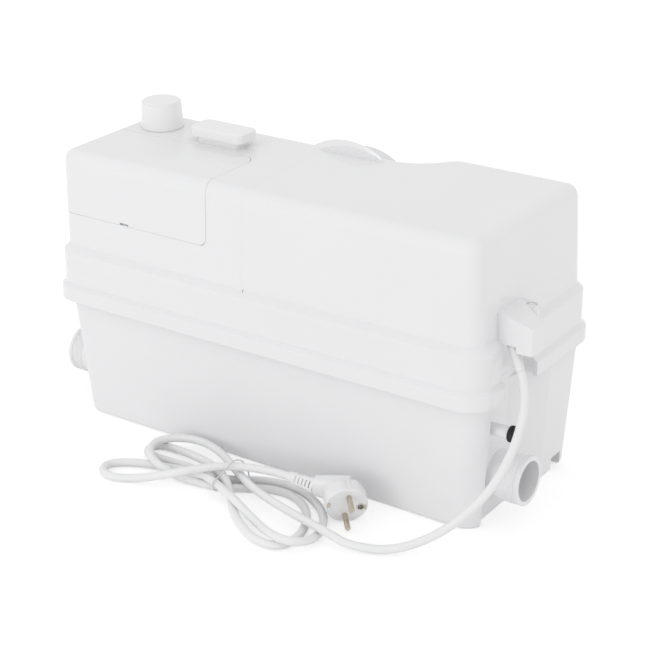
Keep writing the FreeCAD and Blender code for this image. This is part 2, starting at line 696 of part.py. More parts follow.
def screw_places():
    """The top plate's screws, spaced round its edge."""
    front = -rim_half_depth + screw_inset
    rear = rim_half_depth - screw_inset
    bay = rear_bay_y - screw_inset
    end = rim_half_length - screw_inset
    side = end - 2 * screw_inset
    places = [(x * side, front) for x in (-1.0, -0.7, -0.25, 0.55, 1.0)]
    places += [(x * side, rear) for x in (-0.8, -0.4)]
    places += [(x * side, bay) for x in (0.65, 1.0)]
    return places + [(-end, 0.0), (end, rear_bay_y / 2)]

def gasket():
    inner = lip_w + lid_wall + flange_gap + plate_gap + 1.0
    outer = slab(inner, gasket_z, plate_z)
    hole = slab(inner + gasket_w, gasket_z - 1, plate_z + 1)
    gap = recess(skirt_recess_y0 - 5.0, recess_y1 + 5.0, 5.0, gasket_z - 5, plate_z + 5, 3)
    wide = recess(skirt_recess_y0 - 9.0, recess_y1 + 9.0, 9.0, gasket_z - 5, plate_z + 5, 3)
    return outer.cut(hole.cut(wide)).cut(gap)

def top_plate():
    inset = lip_w + lid_wall + flange_gap + plate_gap
    solid = slab(inset, plate_z, plate_top)
    solid = solid.cut(recess(skirt_recess_y0 - 4.0, recess_y1 + 4.0, 4.0, plate_z - 5,
                             plate_top + 5, 3))
    solid = solid.cut(rod(pump_x, pump_y, plate_z - 1, column_r + fit, 20))
    solid = solid.cut(rod(riser_x, riser_y, plate_z - 1, riser_r + fit, 20))
    solid = solid.cut(rod(pan_x, 0, plate_z - 1, pan_spigot_r + fit, 20))
    solid = solid.cut(rod(bell_x, bell_y, plate_z - 1, bell_r + fit, 20))
    for x, y in screw_places():
        solid = solid.cut(rod(x, y, plate_z - 1, screw_r + 0.3, 20))
    for x, y in motor_screw_places():
        solid = solid.cut(rod(x, y, plate_z - 1, screw_r - 0.2, 20))
    return solid

def screw(x, y, z, length, head_r=screw_head_r, shank_r=screw_r - 0.2):
    """A pan-head screw whose head's underside is at z."""
    head = rod(x, y, z, head_r, screw_head_t)
    head = head.makeFillet(screw_head_t * 0.5, edges_at(head, z + screw_head_t))
    head = head.cut(box(x - head_r, x + head_r, y - 0.5, y + 0.5, z + screw_head_t * 0.5, z + 9))
    return head.fuse(rod(x, y, z - length, shank_r, length))

def motor_screw_places():
    reach = motor_ear_r / math.sqrt(2)
    return [(pump_x + i * reach, pump_y + j * reach) for i in (-1, 1) for j in (-1, 1)]

def pump_volute():
    solid = rod(pump_x, pump_y, volute_z0, volute_r, volute_z1 - volute_z0)
    solid = solid.fuse(rod(neck_end_x, neck_y, neck_z, neck_r, pump_x - neck_end_x, X_AXIS))
    room = rod(pump_x, pump_y, volute_z0 + volute_wall, volute_r - volute_wall,
               volute_z1 - volute_z0 - 2 * volute_wall)
    solid = solid.cut(room).cut(rod(neck_end_x - 1, neck_y, neck_z, neck_bore_r,
                                    pump_x - neck_end_x + 1, X_AXIS))
    solid = solid.cut(rod(pump_x, pump_y, volute_z0 - 1, suction_r, 10))
    return solid.cut(rod(pump_x, pump_y, volute_z1 - 10, shaft_r + 1.0, 20))

def cutter_ring():
    solid = ring(pump_x, pump_y, volute_z0 - cutter_t, cutter_r, suction_r, cutter_t)
    for k in range(8):
        slot = box(suction_r - 1, cutter_r - 3, -1.6, 1.6, volute_z0 - cutter_t - 1, volute_z0 - 1.5)
        slot.rotate(V(0, 0, 0), Z_AXIS, k * 45.0)
        slot.translate(V(pump_x, pump_y, 0))
        solid = solid.cut(slot)
    return solid

def impeller():
    z0, z1 = volute_z0 + volute_wall + 3.0, volute_z1 - volute_wall - 2.0
    solid = rod(pump_x, pump_y, z1 - 3, impeller_r, 3).fuse(rod(pump_x, pump_y, z0, 9.0, z1 - z0))
    for k in range(vanes):
        vane = box(7.5, impeller_r - 0.4, -1.4, 1.4, z0, z1 - 2)
        vane.rotate(V(7.5, 0, 0), Z_AXIS, -12)
        vane.rotate(V(0, 0, 0), Z_AXIS, k * 360.0 / vanes)
        vane.translate(V(pump_x, pump_y, 0))
        solid = solid.fuse(vane)
    return solid.cut(rod(pump_x, pump_y, z0 - 1, shaft_r, z1 - z0 + 2)).removeSplitter()

def cutter_blade():
    solid = rod(pump_x, pump_y, cutter_z, 8.0, 3.5)
    for turn in (0, 180):
        arm = box(0, cutter_blade_r - 0.3, -3.0, 3.0, cutter_z, cutter_z + 3.5)
        arm.rotate(V(0, 0, 0), Z_AXIS, turn)
        arm.translate(V(pump_x, pump_y, 0))
        solid = solid.fuse(arm)
    return solid.cut(rod(pump_x, pump_y, cutter_z - 1, shaft_r, 10)).removeSplitter()

def pump_column():
    solid = ring(pump_x, pump_y, volute_z1, column_r, column_bore_r, plate_top - volute_z1)
    solid = solid.fuse(ring(pump_x, pump_y, plate_top, column_flange_r, column_bore_r,
                            column_flange_t))
    for turn in (0, 90):
        window = box(-column_r - 1, column_r + 1, -6, 6, volute_z1 + 12, volute_z1 + 44)
        window.rotate(V(0, 0, 0), Z_AXIS, turn + 45)
        window.translate(V(pump_x, pump_y, 0))
        solid = solid.cut(window)
    return solid.removeSplitter()

def motor_base():
    """The motor's lower shield, with its four ears and the bearing seat."""
    solid = rod(pump_x, pump_y, motor_z, motor_r, motor_foot_t)
    for x, y in motor_screw_places():
        solid = solid.fuse(rod(x, y, plate_top, 6.5, motor_z + motor_foot_t - plate_top))
        arm = box(0, motor_ear_r, -6.5, 6.5, motor_z, motor_z + motor_foot_t)
        arm.rotate(V(0, 0, 0), Z_AXIS, math.degrees(math.atan2(y - pump_y, x - pump_x)))
        arm.translate(V(pump_x, pump_y, 0))
        solid = solid.fuse(arm)
    solid = solid.fuse(rod(pump_x, pump_y, motor_z, bearing_r + 4, motor_foot_t + bearing_t - 2))
    solid = solid.cut(rod(pump_x, pump_y, motor_z + 2, bearing_r, 40))
    solid = solid.cut(rod(pump_x, pump_y, motor_z - 1, shaft_r + 1.0, 10))
    for x, y in motor_screw_places():
        solid = solid.cut(rod(x, y, plate_top - 1, screw_r + 0.3, 30))
    return solid.removeSplitter()

def motor_can():
    foot = motor_z + motor_foot_t
    outer = rod(pump_x, pump_y, foot, motor_r, motor_top_z - foot)
    outer = outer.makeFillet(6.0, edges_at(outer, motor_top_z))
    inner = rod(pump_x, pump_y, foot - 1, motor_r - motor_wall, motor_top_z - foot + 1 - motor_wall)
    return outer.cut(inner)

def stator():
    solid = ring(pump_x, pump_y, rotor_z0 - 2, motor_r - motor_wall, rotor_r + air_gap,
                 rotor_z1 - rotor_z0 + 4)
    ends = ring(pump_x, pump_y, rotor_z0 - 8, rotor_r + 18, rotor_r + 5, rotor_z1 - rotor_z0 + 14)
    return solid.fuse(ends)

def end_shield():
    solid = rod(pump_x, pump_y, shield_z, motor_r - motor_wall, shield_t)
    solid = solid.fuse(rod(pump_x, pump_y, shield_z, bearing_r + 3.5, shield_t + bearing_t))
    solid = solid.cut(rod(pump_x, pump_y, shield_z + shield_t, bearing_r, 40))
    return solid.cut(rod(pump_x, pump_y, shield_z - 1, shaft_r + 1.0, 10))

def turned_path(points, bend_r=None):
    """Straight runs joined by tangent arcs, of one radius or as wide as the runs allow."""
    edges = []
    start = points[0]
    radii = []
    for before, corner, after in zip(points, points[1:], points[2:]):
        shorter = min((before - corner).Length, (after - corner).Length)
        back, ahead = (before - corner).normalize(), (after - corner).normalize()
        half = back.getAngle(ahead) / 2
        reach = bend_r / math.tan(half) if bend_r else 0.45 * shorter
        radius = reach * math.tan(half)
        radii.append(radius)
        a, b = corner + back * reach, corner + ahead * reach
        middle = (back + ahead).normalize()
        top = corner + middle * (radius / math.sin(half) - radius)
        edges.append(Part.LineSegment(start, a).toShape())
        edges.append(Part.Arc(a, top, b).toShape())
        start = b
    edges.append(Part.LineSegment(start, points[-1]).toShape())
    return Part.Wire(edges), radii

def swept(path, radius):
    """A round bar along a path."""
    first = path.Edges[0]
    start = first.valueAt(first.FirstParameter)
    face = Part.Wire(Part.makeCircle(radius, start, first.tangentAt(first.FirstParameter)))
    return path.makePipeShell([face], True, False)

def tube_along(points, radius, bend_r):
    return swept(turned_path(points, bend_r)[0], radius)

def arc_from(start, corner, end):
    """The arc that leaves start towards corner and ends at end, or a line if they are in line."""
    middle = (start + end) * 0.5
    if (corner - middle).Length < 1e-4:
        return Part.LineSegment(start, end).toShape()
    half, reach = (end - start).Length / 2, (corner - start).Length
    return Part.Arc(start, middle + (corner - middle) * (half / (half + reach)), end).toShape()

def biarc_path(points, first_way, last_way):
    """A smooth path of arcs, two to each pair of points, level at its crests and hollows."""
    ways = [first_way]
    for before, here, after in zip(points, points[1:], points[2:]):
        back, ahead = here - before, after - here
        way = back * (ahead.Length / back.Length) + ahead * (back.Length / ahead.Length)
        if back.z * ahead.z <= 0:
            way.z = 0
        ways.append(way.normalize())
    ways.append(last_way)
    edges = []
    for p, q, u, v in zip(points, points[1:], ways, ways[1:]):
        gap, both, spread = q - p, u + v, 2 * (1 - u.dot(v))
        lean = gap.dot(both)
        if spread < 1e-9:
            reach = gap.dot(gap) / (2 * lean)
        else:
            reach = (-lean + math.sqrt(lean * lean + spread * gap.dot(gap))) / spread
        joint = (p + u * reach + q - v * reach) * 0.5
        edges.append(arc_from(p, p + u * reach, joint))
        edges.append(arc_from(joint, q - v * reach, q))
    return Part.Wire(edges)

def least_self_gap(path, radius):
    """The smallest distance between two strands' surfaces, measured on points."""
    places = [edge.valueAt(edge.FirstParameter + (edge.LastParameter - edge.FirstParameter) * k / 8)
              for edge in path.Edges for k in range(8)]
    along = [0.0]
    for p, q in zip(places, places[1:]):
        along.append(along[-1] + p.distanceToPoint(q))
    least = 1e9
    for i, p in enumerate(places):
        for j in range(i + 1, len(places)):
            if along[j] - along[i] > 8 * radius:
                least = min(least, p.distanceToPoint(places[j]))
    return least - 2 * radius

def lead_way():
    return (V(*lead_points[-1]) - V(*lead_points[-2])).normalize()

def power_cord():
    path, radii = turned_path([V(*p) for p in lead_points])
    solid = swept(path, cord_r)
    print("lead length", round(path.Length, 1), "volume ratio",
          round(solid.Volume / (math.pi * cord_r ** 2 * path.Length), 4))
    print("lead bend radii", [round(r, 1) for r in radii])
    return solid

def plug_axes():
    """The plug's own axes: away from its lead, along the pin pair, and away from the pins."""
    rear = V(*plug_pin_way).normalize() * -1
    to_lead = V(*hank_points[-1]) - V(*plug_face)
    side = (to_lead - rear * to_lead.dot(rear)).normalize()
    return side, rear.cross(side), rear

def placed_as_plug(shape):
    """Places a shape made with the face at the origin, the lead towards +X and the pins down."""
    side, across, rear = plug_axes()
    x, y, z = plug_face
    place = FreeCAD.Placement(FreeCAD.Matrix(
        side.x, across.x, rear.x, x, side.y, across.y, rear.y, y,
        side.z, across.z, rear.z, z, 0, 0, 0, 1))
    shape.Placement = place.multiply(shape.Placement)
    return shape

def lead_from_plug():
    """From the middle of the plug's head to the lead's end."""
    return V(*hank_points[-1]) - V(*plug_face) - plug_axes()[2] * plug_cord_mid

def lead_end_way():
    return lead_from_plug().normalize()

def cord_hank():
    path = biarc_path([V(*p) for p in hank_points], lead_way(), lead_end_way() * -1)
    solid = swept(path, cord_r)
    print("hank length", round(path.Length, 1), "volume ratio",
          round(solid.Volume / (math.pi * cord_r ** 2 * path.Length), 4),
          "least self gap", round(least_self_gap(path, cord_r), 2))
    return solid

def cord_tie():
    """The wire tie, drawn over the strands where they cross."""
    turn = math.radians(tie_turn)
    across = V(-math.sin(turn), math.cos(turn), 0)
    points = [V(tie_x, tie_y, z) + across * u for u, z in tie_arch]
    return swept(turned_path(points)[0], tie_r)

def plug_arm_axis():
    """The lead's way out of the plug, in the plug's own axes."""
    side, across, rear = plug_axes()
    way = lead_end_way()
    return V(way.dot(side), way.dot(across), way.dot(rear))

def plug_body():
    head = rod(0, 0, 0, plug_r, plug_thick)
    head = head.makeFillet(3.5, edges_at(head, plug_thick))
    head = head.makeFillet(0.8, edges_at(head, 0))
    way = plug_arm_axis()
    arm_end = lead_from_plug().Length - relief_length + 2.0
    arm = Part.makeCone(plug_arm_r, relief_r1 + 0.6, arm_end, V(0, 0, plug_cord_mid), way)
    body = head.fuse(arm)
    body = body.cut(rod(plug_earth_x, 0, -1, plug_earth_r, 13))
    for side in (-1, 1):
        body = body.cut(box(side * plug_r - 1.6, side * plug_r + 1.6, -3.2, 3.2, -1, 12))
    grip = box(-5, 5, plug_r - 1.2, plug_r + 3, 4.0, 15.0)
    body = body.cut(grip)
    for k in (-1, 1):
        rib = box(k * 2.5 - 0.8, k * 2.5 + 0.8, plug_r - 3, plug_r - 0.3, 5.0, 14.0)
        body = body.fuse(rib)
    for side in (-1, 1):
        body = body.cut(rod(0, side * plug_pin_space / 2, -1, plug_pin_r, 11.0))
    return placed_as_plug(body.removeSplitter())

def plug_relief():
    """The ribbed boot between the plug and the lead, in plug axes and then placed."""
    way = plug_arm_axis()
    foot = V(0, 0, plug_cord_mid) + way * (lead_from_plug().Length - relief_length + 2.0)
    length = relief_length - 2.0
    boot = cone(0, 0, 0, relief_r1, relief_r0, length)
    for turn in range(4):
        for k in range(relief_windows):
            low = (k + 0.7) * relief_window_pitch
            window = box(relief_core_r, relief_r1 + 1, -relief_window_w / 2, relief_window_w / 2,
                         low, low + relief_window_pitch * 0.6)
            window.rotate(V(0, 0, 0), Z_AXIS, turn * 90)
            boot = boot.cut(window)
    boot.Placement = FreeCAD.Placement(foot, FreeCAD.Rotation(Z_AXIS, way))
    return placed_as_plug(boot)

def plug_pins():
    pins = []
    for side in (-1, 1):
        pin = rod(0, side * plug_pin_space / 2, -plug_pin_length, plug_pin_r,
                  plug_pin_length + 10.0)
        pins.append(pin.makeFillet(1.4, edges_at(pin, -plug_pin_length)))
    return placed_as_plug(Part.makeCompound(pins))

def plug_earth():
    clips = [box(side * (plug_r - 0.9) - 0.6, side * (plug_r - 0.9) + 0.6, -3.0, 3.0, 0.4, 12)
             for side in (-1, 1)]
    return placed_as_plug(Part.makeCompound(clips))

def discharge_hose():
    first = V(neck_end_x + 14, neck_y, neck_z)
    points = [first] + [V(x, y, neck_z) for x, y in hose_mid]
    points += [V(riser_x, riser_y, neck_z), V(riser_x, riser_y, valve_foot_z + 12)]
    outer = tube_along(points, hose_r, hose_bend_r)
    return outer.cut(tube_along(points, neck_r, hose_bend_r))

def hose_clamps():
    clamps = []
    for place, axis in ((V(neck_end_x + 5, neck_y, neck_z), X_AXIS),
                        (V(riser_x, riser_y, valve_foot_z + 1), Z_AXIS)):
        band = ring(place.x, place.y, place.z, hose_r + 0.8, hose_r, clamp_band_w, axis)
        if axis == X_AXIS:
            lock = box(place.x, place.x + clamp_band_w, place.y - 5, place.y + 5,
                       place.z + hose_r, place.z + hose_r + 7)
        else:
            lock = box(place.x - 5, place.x + 5, place.y + hose_r, place.y + hose_r + 7,
                       place.z, place.z + clamp_band_w)
        lock = lock.cut(rod(place.x, place.y, place.z, hose_r, clamp_band_w, axis))
        clamps.append(band.fuse(lock))
    return Part.makeCompound(clamps)

def valve_body():
    body = rod(riser_x, riser_y, valve_seat_z - 5, valve_r, valve_roof_z - valve_seat_z + 9)
    body = body.fuse(rod(riser_x, riser_y, valve_foot_z, neck_r, 20))
    room = rod(riser_x, riser_y, valve_seat_z, valve_bore_r, valve_roof_z - valve_seat_z)
    body = body.cut(room).cut(rod(riser_x, riser_y, valve_foot_z - 1, neck_bore_r, 40))
    body = body.cut(rod(riser_x, riser_y, valve_roof_z - 1, riser_bore_r, 20))
    hinge_x = riser_x - flap_hinge
    hinge_z = valve_seat_z + flap_gap + flap_t / 2
    ears = ear_pair(hinge_x, riser_y, hinge_z, 3.0, 9.0, 3.0, hinge_z - valve_seat_z + 1)
    body = body.cut(box(hinge_x - 3.2, hinge_x + 3.2, riser_y - 4.5, riser_y + 4.5,
                        hinge_z - 3.2, hinge_z))
    return body.fuse(ears).removeSplitter()

def riser():
    foot = valve_roof_z + 4
    solid = ring(riser_x, riser_y, foot, riser_r, riser_bore_r, riser_top_z - foot)
    return solid.fuse(ring(riser_x, riser_y, plate_top, riser_r + riser_flange_w, riser_r, 3.0))

def hung_flap(radius, thick, hinge, lug_w):
    """A flap disc below a hinge at the origin, its axis along Y, lying in the Z plane of X = 0."""
    disc = rod(-thick / 2, 0, -hinge, radius, thick, X_AXIS)
    lug = box(-thick / 2, thick / 2, -lug_w / 2, lug_w / 2, -hinge, 0)
    barrel = rod(0, -lug_w / 2, 0, pin_r + 1.2, lug_w, Y_AXIS)
    pin = rod(0, -lug_w / 2 - 3.2, 0, pin_r, lug_w + 6.4, Y_AXIS)
    return disc.fuse(lug).fuse(barrel).fuse(pin).removeSplitter()

def inlet_flap(direction):
    flap = hung_flap(inlet_flap_r, inlet_flap_t, inlet_hinge, 13.0)
    flap.translate(V(inlet_hinge_x(direction), inlet_y, inlet_z + inlet_hinge))
    return flap

def valve_flap():
    flap = hung_flap(flap_r, flap_t, flap_hinge, 8.4)
    flap.rotate(V(0, 0, 0), Y_AXIS, -90)
    flap.translate(V(riser_x - flap_hinge, riser_y, valve_seat_z + flap_gap + flap_t / 2))
    return flap

def discharge_cap():
    foot = lid_top_z + fit
    outer = cone(riser_x, riser_y, foot, cap_foot_r, cap_top_r, cap_top_z - foot)
    outer = outer.fuse(rod(riser_x, riser_y, cap_top_z, cap_disc_r, cap_disc_t))
    outer = outer.makeFillet(0.5, edges_at(outer, cap_top_z + cap_disc_t))
    return outer.cut(rod(riser_x, riser_y, foot - 1, riser_r + 0.1, riser_top_z + 0.3 - foot + 1))

def vent_block(half_x, half_y, z0, z1, radius):
    """A rounded block about the vent's middle."""
    return block(vent_x - half_x, vent_x + half_x, vent_y - half_y, vent_y + half_y, z0, z1, radius)

def vent_base():
    solid = vent_block(vent_base_x / 2, vent_base_y / 2, lid_top_z, vent_base_top, vent_corner_r)
    neck = vent_block(vent_neck_x, vent_neck_y, lid_top_z - vent_neck_depth, lid_top_z + 1, 3.2)
    room = vent_block(vent_room_x, vent_room_y, lid_top_z - vent_neck_depth + 1.5,
                      vent_base_top + 1, 2.4)
    shaft = vent_block(vent_room_x - 4, vent_room_y - 2.5, lid_top_z - vent_neck_depth - 2,
                       lid_top_z, 1.5)
    return solid.fuse(neck).cut(room).cut(shaft).removeSplitter()

def vent_cap():
    outer = vent_block(vent_cap_x / 2, vent_cap_y / 2, vent_cap_z, vent_cap_z + vent_cap_t,
                       vent_corner_r + 1.5)
    outer = outer.makeFillet(1.2, edges_at(outer, vent_cap_z + vent_cap_t))
    plug = vent_block(vent_room_x - vent_cap_gap, vent_room_y - vent_cap_gap, vent_cap_z - 2.6,
                      vent_cap_z + 1, 2.0)
    hollow = vent_block(vent_room_x - 3.0, vent_room_y - 2.4, vent_cap_z - 4, vent_cap_z + 5, 1.2)
    return outer.fuse(plug).cut(hollow).removeSplitter()

def vent_filter():
    low = lid_top_z - vent_neck_depth + 1.5
    return vent_block(vent_room_x - vent_filter_gap, vent_room_y - vent_filter_gap, low,
                      low + vent_filter_h, 2.2)

def pan_bend():
    """The rear inlet's bend, from the spigot at the back down through the top plate."""
    points = [V(pan_x, pan_spigot_y, pan_z), V(pan_x, 0, pan_z), V(pan_x, 0, flange_z - 4)]
    solid = tube_along(points, pan_spigot_r, pan_bend_r)
    solid = solid.cut(tube_along([points[0] + V(0, 1, 0), points[1], points[2] - V(0, 0, 1)],
                                 pan_spigot_bore_r, pan_bend_r))
    return solid.fuse(ring(pan_x, 0, plate_top, pan_spigot_r + 5, pan_spigot_r - 1, 3.0))

def pan_sleeve():
    length = sleeve_y1 - sleeve_y0
    solid = rod(pan_x, sleeve_y0, pan_z, sleeve_r, length, Y_AXIS)
    solid = solid.makeFillet(2.0, [e for e in solid.Edges if e.BoundBox.YMin > sleeve_y1 - 0.1])
    solid = solid.cut(rod(pan_x, sleeve_y0 - 1, pan_z, pan_spigot_r, pan_spigot_y - sleeve_y0 + 1.5,
                          Y_AXIS))
    return solid.cut(rod(pan_x, sleeve_y0, pan_z, sleeve_lip_r, length + 2, Y_AXIS))

def sleeve_clamp():
    band = ring(pan_x, clamp_y0, pan_z, sleeve_r + clamp_t, sleeve_r, clamp_w, Y_AXIS)
    lock = box(pan_x - 9, pan_x + 9, clamp_y0, clamp_y0 + clamp_w, pan_z - sleeve_r - 8,
               pan_z - sleeve_r + 6)
    lock = lock.cut(rod(pan_x, clamp_y0 - 1, pan_z, sleeve_r, clamp_w + 2, Y_AXIS))
    return band.fuse(lock).removeSplitter()

def gland_boot():
    """Where the boot ends, which way it points and how long it is."""
    mouth = V(*lead_points[0])
    way = (mouth - V(*lead_points[1])).normalize()
    return mouth, way, (gland_z - 3.0 - mouth.z) / way.z

def cord_gland():
    """The lead's strain relief: it grips the lead in the hood and passes the lid's end wall."""
    mouth, way, length = gland_boot()
    boot = Part.makeCone(gland_r0, gland_r1, length, mouth, way)
    knee_at = mouth + way * length
    knee = rod(knee_at.x, knee_at.y, knee_at.z - 3.0, gland_r1, 9.0)
    through = rod(hood_x0 - 9, knee_at.y, gland_z, gland_neck_r, knee_at.x - hood_x0 + 9, X_AXIS)
    nut = rod(hood_x0 - 9, knee_at.y, gland_z, 7.5, 4.5, X_AXIS)
    return boot.fuse(knee).fuse(through).fuse(nut).removeSplitter()

def bell():
    solid = ring(bell_x, bell_y, bell_foot_z, bell_r, bell_bore_r, plate_top - bell_foot_z)
    solid = solid.fuse(rod(bell_x, bell_y, plate_top, bell_r + 6, 3.0))
    return solid.cut(rod(bell_x, bell_y, plate_top - 1, 2.0, 10))

def pressure_switch():
    z0 = plate_top + 3.0
    solid = rod(bell_x, bell_y, z0, switch_r, switch_z1 - z0)
    solid = solid.makeFillet(2.0, edges_at(solid, switch_z1))
    solid = solid.cut(rod(bell_x, bell_y, z0 + 3, switch_r - 2.5, switch_z1 - z0 - 6))
    return solid.cut(rod(bell_x, bell_y, switch_z1 - 8, plunger_r + running, 20))

def switch_plunger():
    return rod(bell_x, bell_y, switch_z1 - 12, plunger_r, plunger_z1 - switch_z1 + 12).fuse(
        rod(bell_x, bell_y, switch_z1 - 12, plunger_r + 4, 2.0))

def control_box():
    solid = box(control_x0, control_x1, control_y0, control_y1, plate_top, control_z1)
    solid = solid.cut(box(control_x0 + control_wall, control_x1 - control_wall,
                          control_y0 + control_wall, control_y1 + 1, plate_top + control_wall,
                          control_z1 - control_wall))
    for z in (plate_top + 10, control_z1 - 14):
        for x in (control_x0 + 8, control_x1 - 8):
            solid = solid.fuse(rod(x, control_y0 + control_wall, z, 2.5, 4.0, Y_AXIS))
    return solid.removeSplitter()

def control_board():
    return box(control_x0 + 3, control_x1 - 3, control_y0 + 6, control_y0 + 7.6, plate_top + 3,
               control_z1 - 3)

def terminal_block():
    solid = box(control_x0 + 14, control_x0 + 54, control_y0 + 7.6, control_y0 + 13.4,
                plate_top + 6, plate_top + 24)
    for k in range(5):
        solid = solid.cut(rod(control_x0 + 18 + k * 8, control_y0 + 11, plate_top + 15, 2.4, 9,
                              Y_AXIS))
    return solid

def drain_cap():
    solid = rod(drain_cap_x0, drain_y, drain_z, drain_cap_r, drain_cap_x1 - drain_cap_x0, X_AXIS)
    solid = solid.makeFillet(1.4, [e for e in solid.Edges if e.BoundBox.XMin > drain_cap_x1 - 0.1])
    return solid.cut(rod(drain_cap_x0 - 1, drain_y, drain_z, drain_r + running,
                         drain_end_x - drain_cap_x0 + 1.4, X_AXIS))

make_out(tank(), "tank")
make_out(gasket(), "tank_gasket")
make_out(top_plate(), "top_plate")
make_out(Part.makeCompound([screw(x, y, plate_top, plate_screw_length) for x, y in screw_places()]),
         "plate_screws")
make_out(lid_shell(), "lid_shell")
make_out(access_cover(), "access_cover")
make_out(hood(), "cord_hood")
make_out(screw(lug_x, lug_y, hood_crest_z - hood_slope * (lug_x - hood_x0) - hood_screw_depth,
               hood_screw_length, hood_screw_r, 1.4), "hood_screw")
make_out(cord_gland(), "cord_gland")
make_out(discharge_cap(), "discharge_cap")
make_out(riser(), "discharge_riser")
make_out(valve_body(), "valve_body")
make_out(valve_flap(), "valve_flap")
make_out(discharge_hose(), "discharge_hose")
make_out(hose_clamps(), "hose_clamps")
make_out(inlet_flap(1), "inlet_flap_right")
make_out(inlet_flap(-1), "inlet_flap_left")
make_out(vent_base(), "vent_base")
make_out(vent_cap(), "vent_cap")
make_out(vent_filter(), "vent_filter")
make_out(pan_bend(), "pan_bend")
make_out(pan_sleeve(), "pan_sleeve")
make_out(sleeve_clamp(), "sleeve_clamp")
make_out(drain_cap(), "drain_cap")
make_out(bell(), "pressure_bell")
make_out(pressure_switch(), "pressure_switch")
make_out(switch_plunger(), "switch_plunger")
make_out(control_box(), "control_box")
make_out(control_board(), "control_board")
make_out(terminal_block(), "terminal_block")
make_out(rod(capacitor_x, capacitor_y, plate_top, capacitor_r, capacitor_h), "capacitor")
make_out(pump_volute(), "pump_volute")
make_out(cutter_ring(), "cutter_ring")
make_out(pump_column(), "pump_column")
make_out(motor_base(), "motor_base")
make_out(motor_can(), "motor_can")
make_out(stator(), "motor_stator")
make_out(end_shield(), "end_shield")
make_out(Part.makeCompound([screw(x, y, motor_z + motor_foot_t, motor_screw_length)
                            for x, y in motor_screw_places()]), "motor_screws")
make_out(ring(pump_x, pump_y, plate_z - 10, column_bore_r, shaft_r + running, 8), "shaft_seal")
make_out(ring(pump_x, pump_y, motor_z + 2, bearing_r, shaft_r + running, bearing_t), "lower_bearing")
make_out(ring(pump_x, pump_y, shield_z + shield_t, bearing_r, shaft_r + running, bearing_t),
         "upper_bearing")
make_out(rod(pump_x, pump_y, cutter_z, shaft_r, shield_z + shield_t + bearing_t + 1 - cutter_z),
         "motor_shaft")
make_out(ring(pump_x, pump_y, rotor_z0, rotor_r, shaft_r, rotor_z1 - rotor_z0), "rotor_core")
make_out(impeller(), "impeller")
make_out(cutter_blade(), "cutter_blade")
make_out(power_cord(), "power_cord")
make_out(cord_hank(), "cord_hank")
make_out(cord_tie(), "cord_tie")
make_out(plug_relief(), "plug_relief")
make_out(plug_body(), "plug_body")
make_out(plug_pins(), "plug_pins")
make_out(plug_earth(), "plug_earth")
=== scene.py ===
# %% [markdown]
# # Sewage lifting station
#
# The object is a white plastic tank that collects waste water, grinds it and pumps it up a riser.
# A glossy lid covers the motor. A mains lead leaves a small hood, hangs to the floor and lies
# there in a hank with its plug. The solids come ready made in a frame, so this lesson gives them
# their finishes, makes the flexible lead and the fine parts, and lights everything like a
# catalogue photo.

# %% The frame
import json
import math
import bpy
from mathutils import Matrix, Vector


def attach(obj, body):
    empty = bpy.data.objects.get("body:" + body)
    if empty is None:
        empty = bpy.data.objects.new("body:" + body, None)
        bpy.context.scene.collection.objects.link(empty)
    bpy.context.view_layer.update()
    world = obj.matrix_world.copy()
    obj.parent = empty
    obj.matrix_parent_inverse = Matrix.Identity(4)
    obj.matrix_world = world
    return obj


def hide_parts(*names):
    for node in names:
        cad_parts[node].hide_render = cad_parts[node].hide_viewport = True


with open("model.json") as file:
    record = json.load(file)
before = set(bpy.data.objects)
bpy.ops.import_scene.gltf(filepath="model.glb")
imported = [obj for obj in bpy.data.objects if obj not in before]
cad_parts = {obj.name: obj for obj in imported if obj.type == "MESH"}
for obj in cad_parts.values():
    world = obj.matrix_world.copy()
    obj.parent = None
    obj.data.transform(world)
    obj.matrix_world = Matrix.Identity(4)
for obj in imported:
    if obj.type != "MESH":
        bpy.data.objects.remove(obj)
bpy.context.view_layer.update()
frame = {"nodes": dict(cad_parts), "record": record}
MM = 0.001


# %% [markdown]
# ## The camera
#
# A product photograph is taken with a long lens, which keeps the long sides of a box nearly
# parallel. The camera stands to the right of the front, a little above the lid. Its place and
# tilt could be set by eye, but here they were found by matching the corners of the housing, which
# also fixes the lens. A camera's matrix has its right, up and backward directions as columns, so
# they are worked out from two angles and a small roll.

# %% Camera
VIEW_AZIMUTH = math.radians(34.66)
VIEW_ELEVATION = math.radians(23.83)
VIEW_ROLL = math.radians(-0.52)
CAMERA_PLACE = Vector((0.86363, -1.2195, 0.77323))
LENS_MM = 100.05
SENSOR_MM = 36.0
FARTHEST_SEEN = 50.0

backward = Vector((math.sin(VIEW_AZIMUTH) * math.cos(VIEW_ELEVATION),
                   -math.cos(VIEW_AZIMUTH) * math.cos(VIEW_ELEVATION), math.sin(VIEW_ELEVATION)))
level_right = Vector((math.cos(VIEW_AZIMUTH), math.sin(VIEW_AZIMUTH), 0.0))
level_up = backward.cross(level_right)
right = level_right * math.cos(VIEW_ROLL) + level_up * math.sin(VIEW_ROLL)
up = backward.cross(right)
turned = Matrix((right, up, backward)).transposed().to_4x4()

camera = bpy.data.objects.new("camera", bpy.data.cameras.new("camera"))
camera.data.lens = LENS_MM
camera.data.sensor_width = SENSOR_MM
camera.data.clip_end = FARTHEST_SEEN
camera.matrix_world = Matrix.Translation(CAMERA_PLACE) @ turned
bpy.context.scene.collection.objects.link(camera)
bpy.context.scene.camera = camera
print("camera looks along", tuple(round(-v, 3) for v in backward))

# %% [markdown]
# ## Shader maths as plain expressions
#
# A material is a graph of nodes, and a graph is hard to read in code. A small class wraps one
# socket, so that `1 - mask * 0.2` adds the Math nodes by itself. Every other node comes from one
# method, which sets the node's own settings first and then the values or links of its sockets.

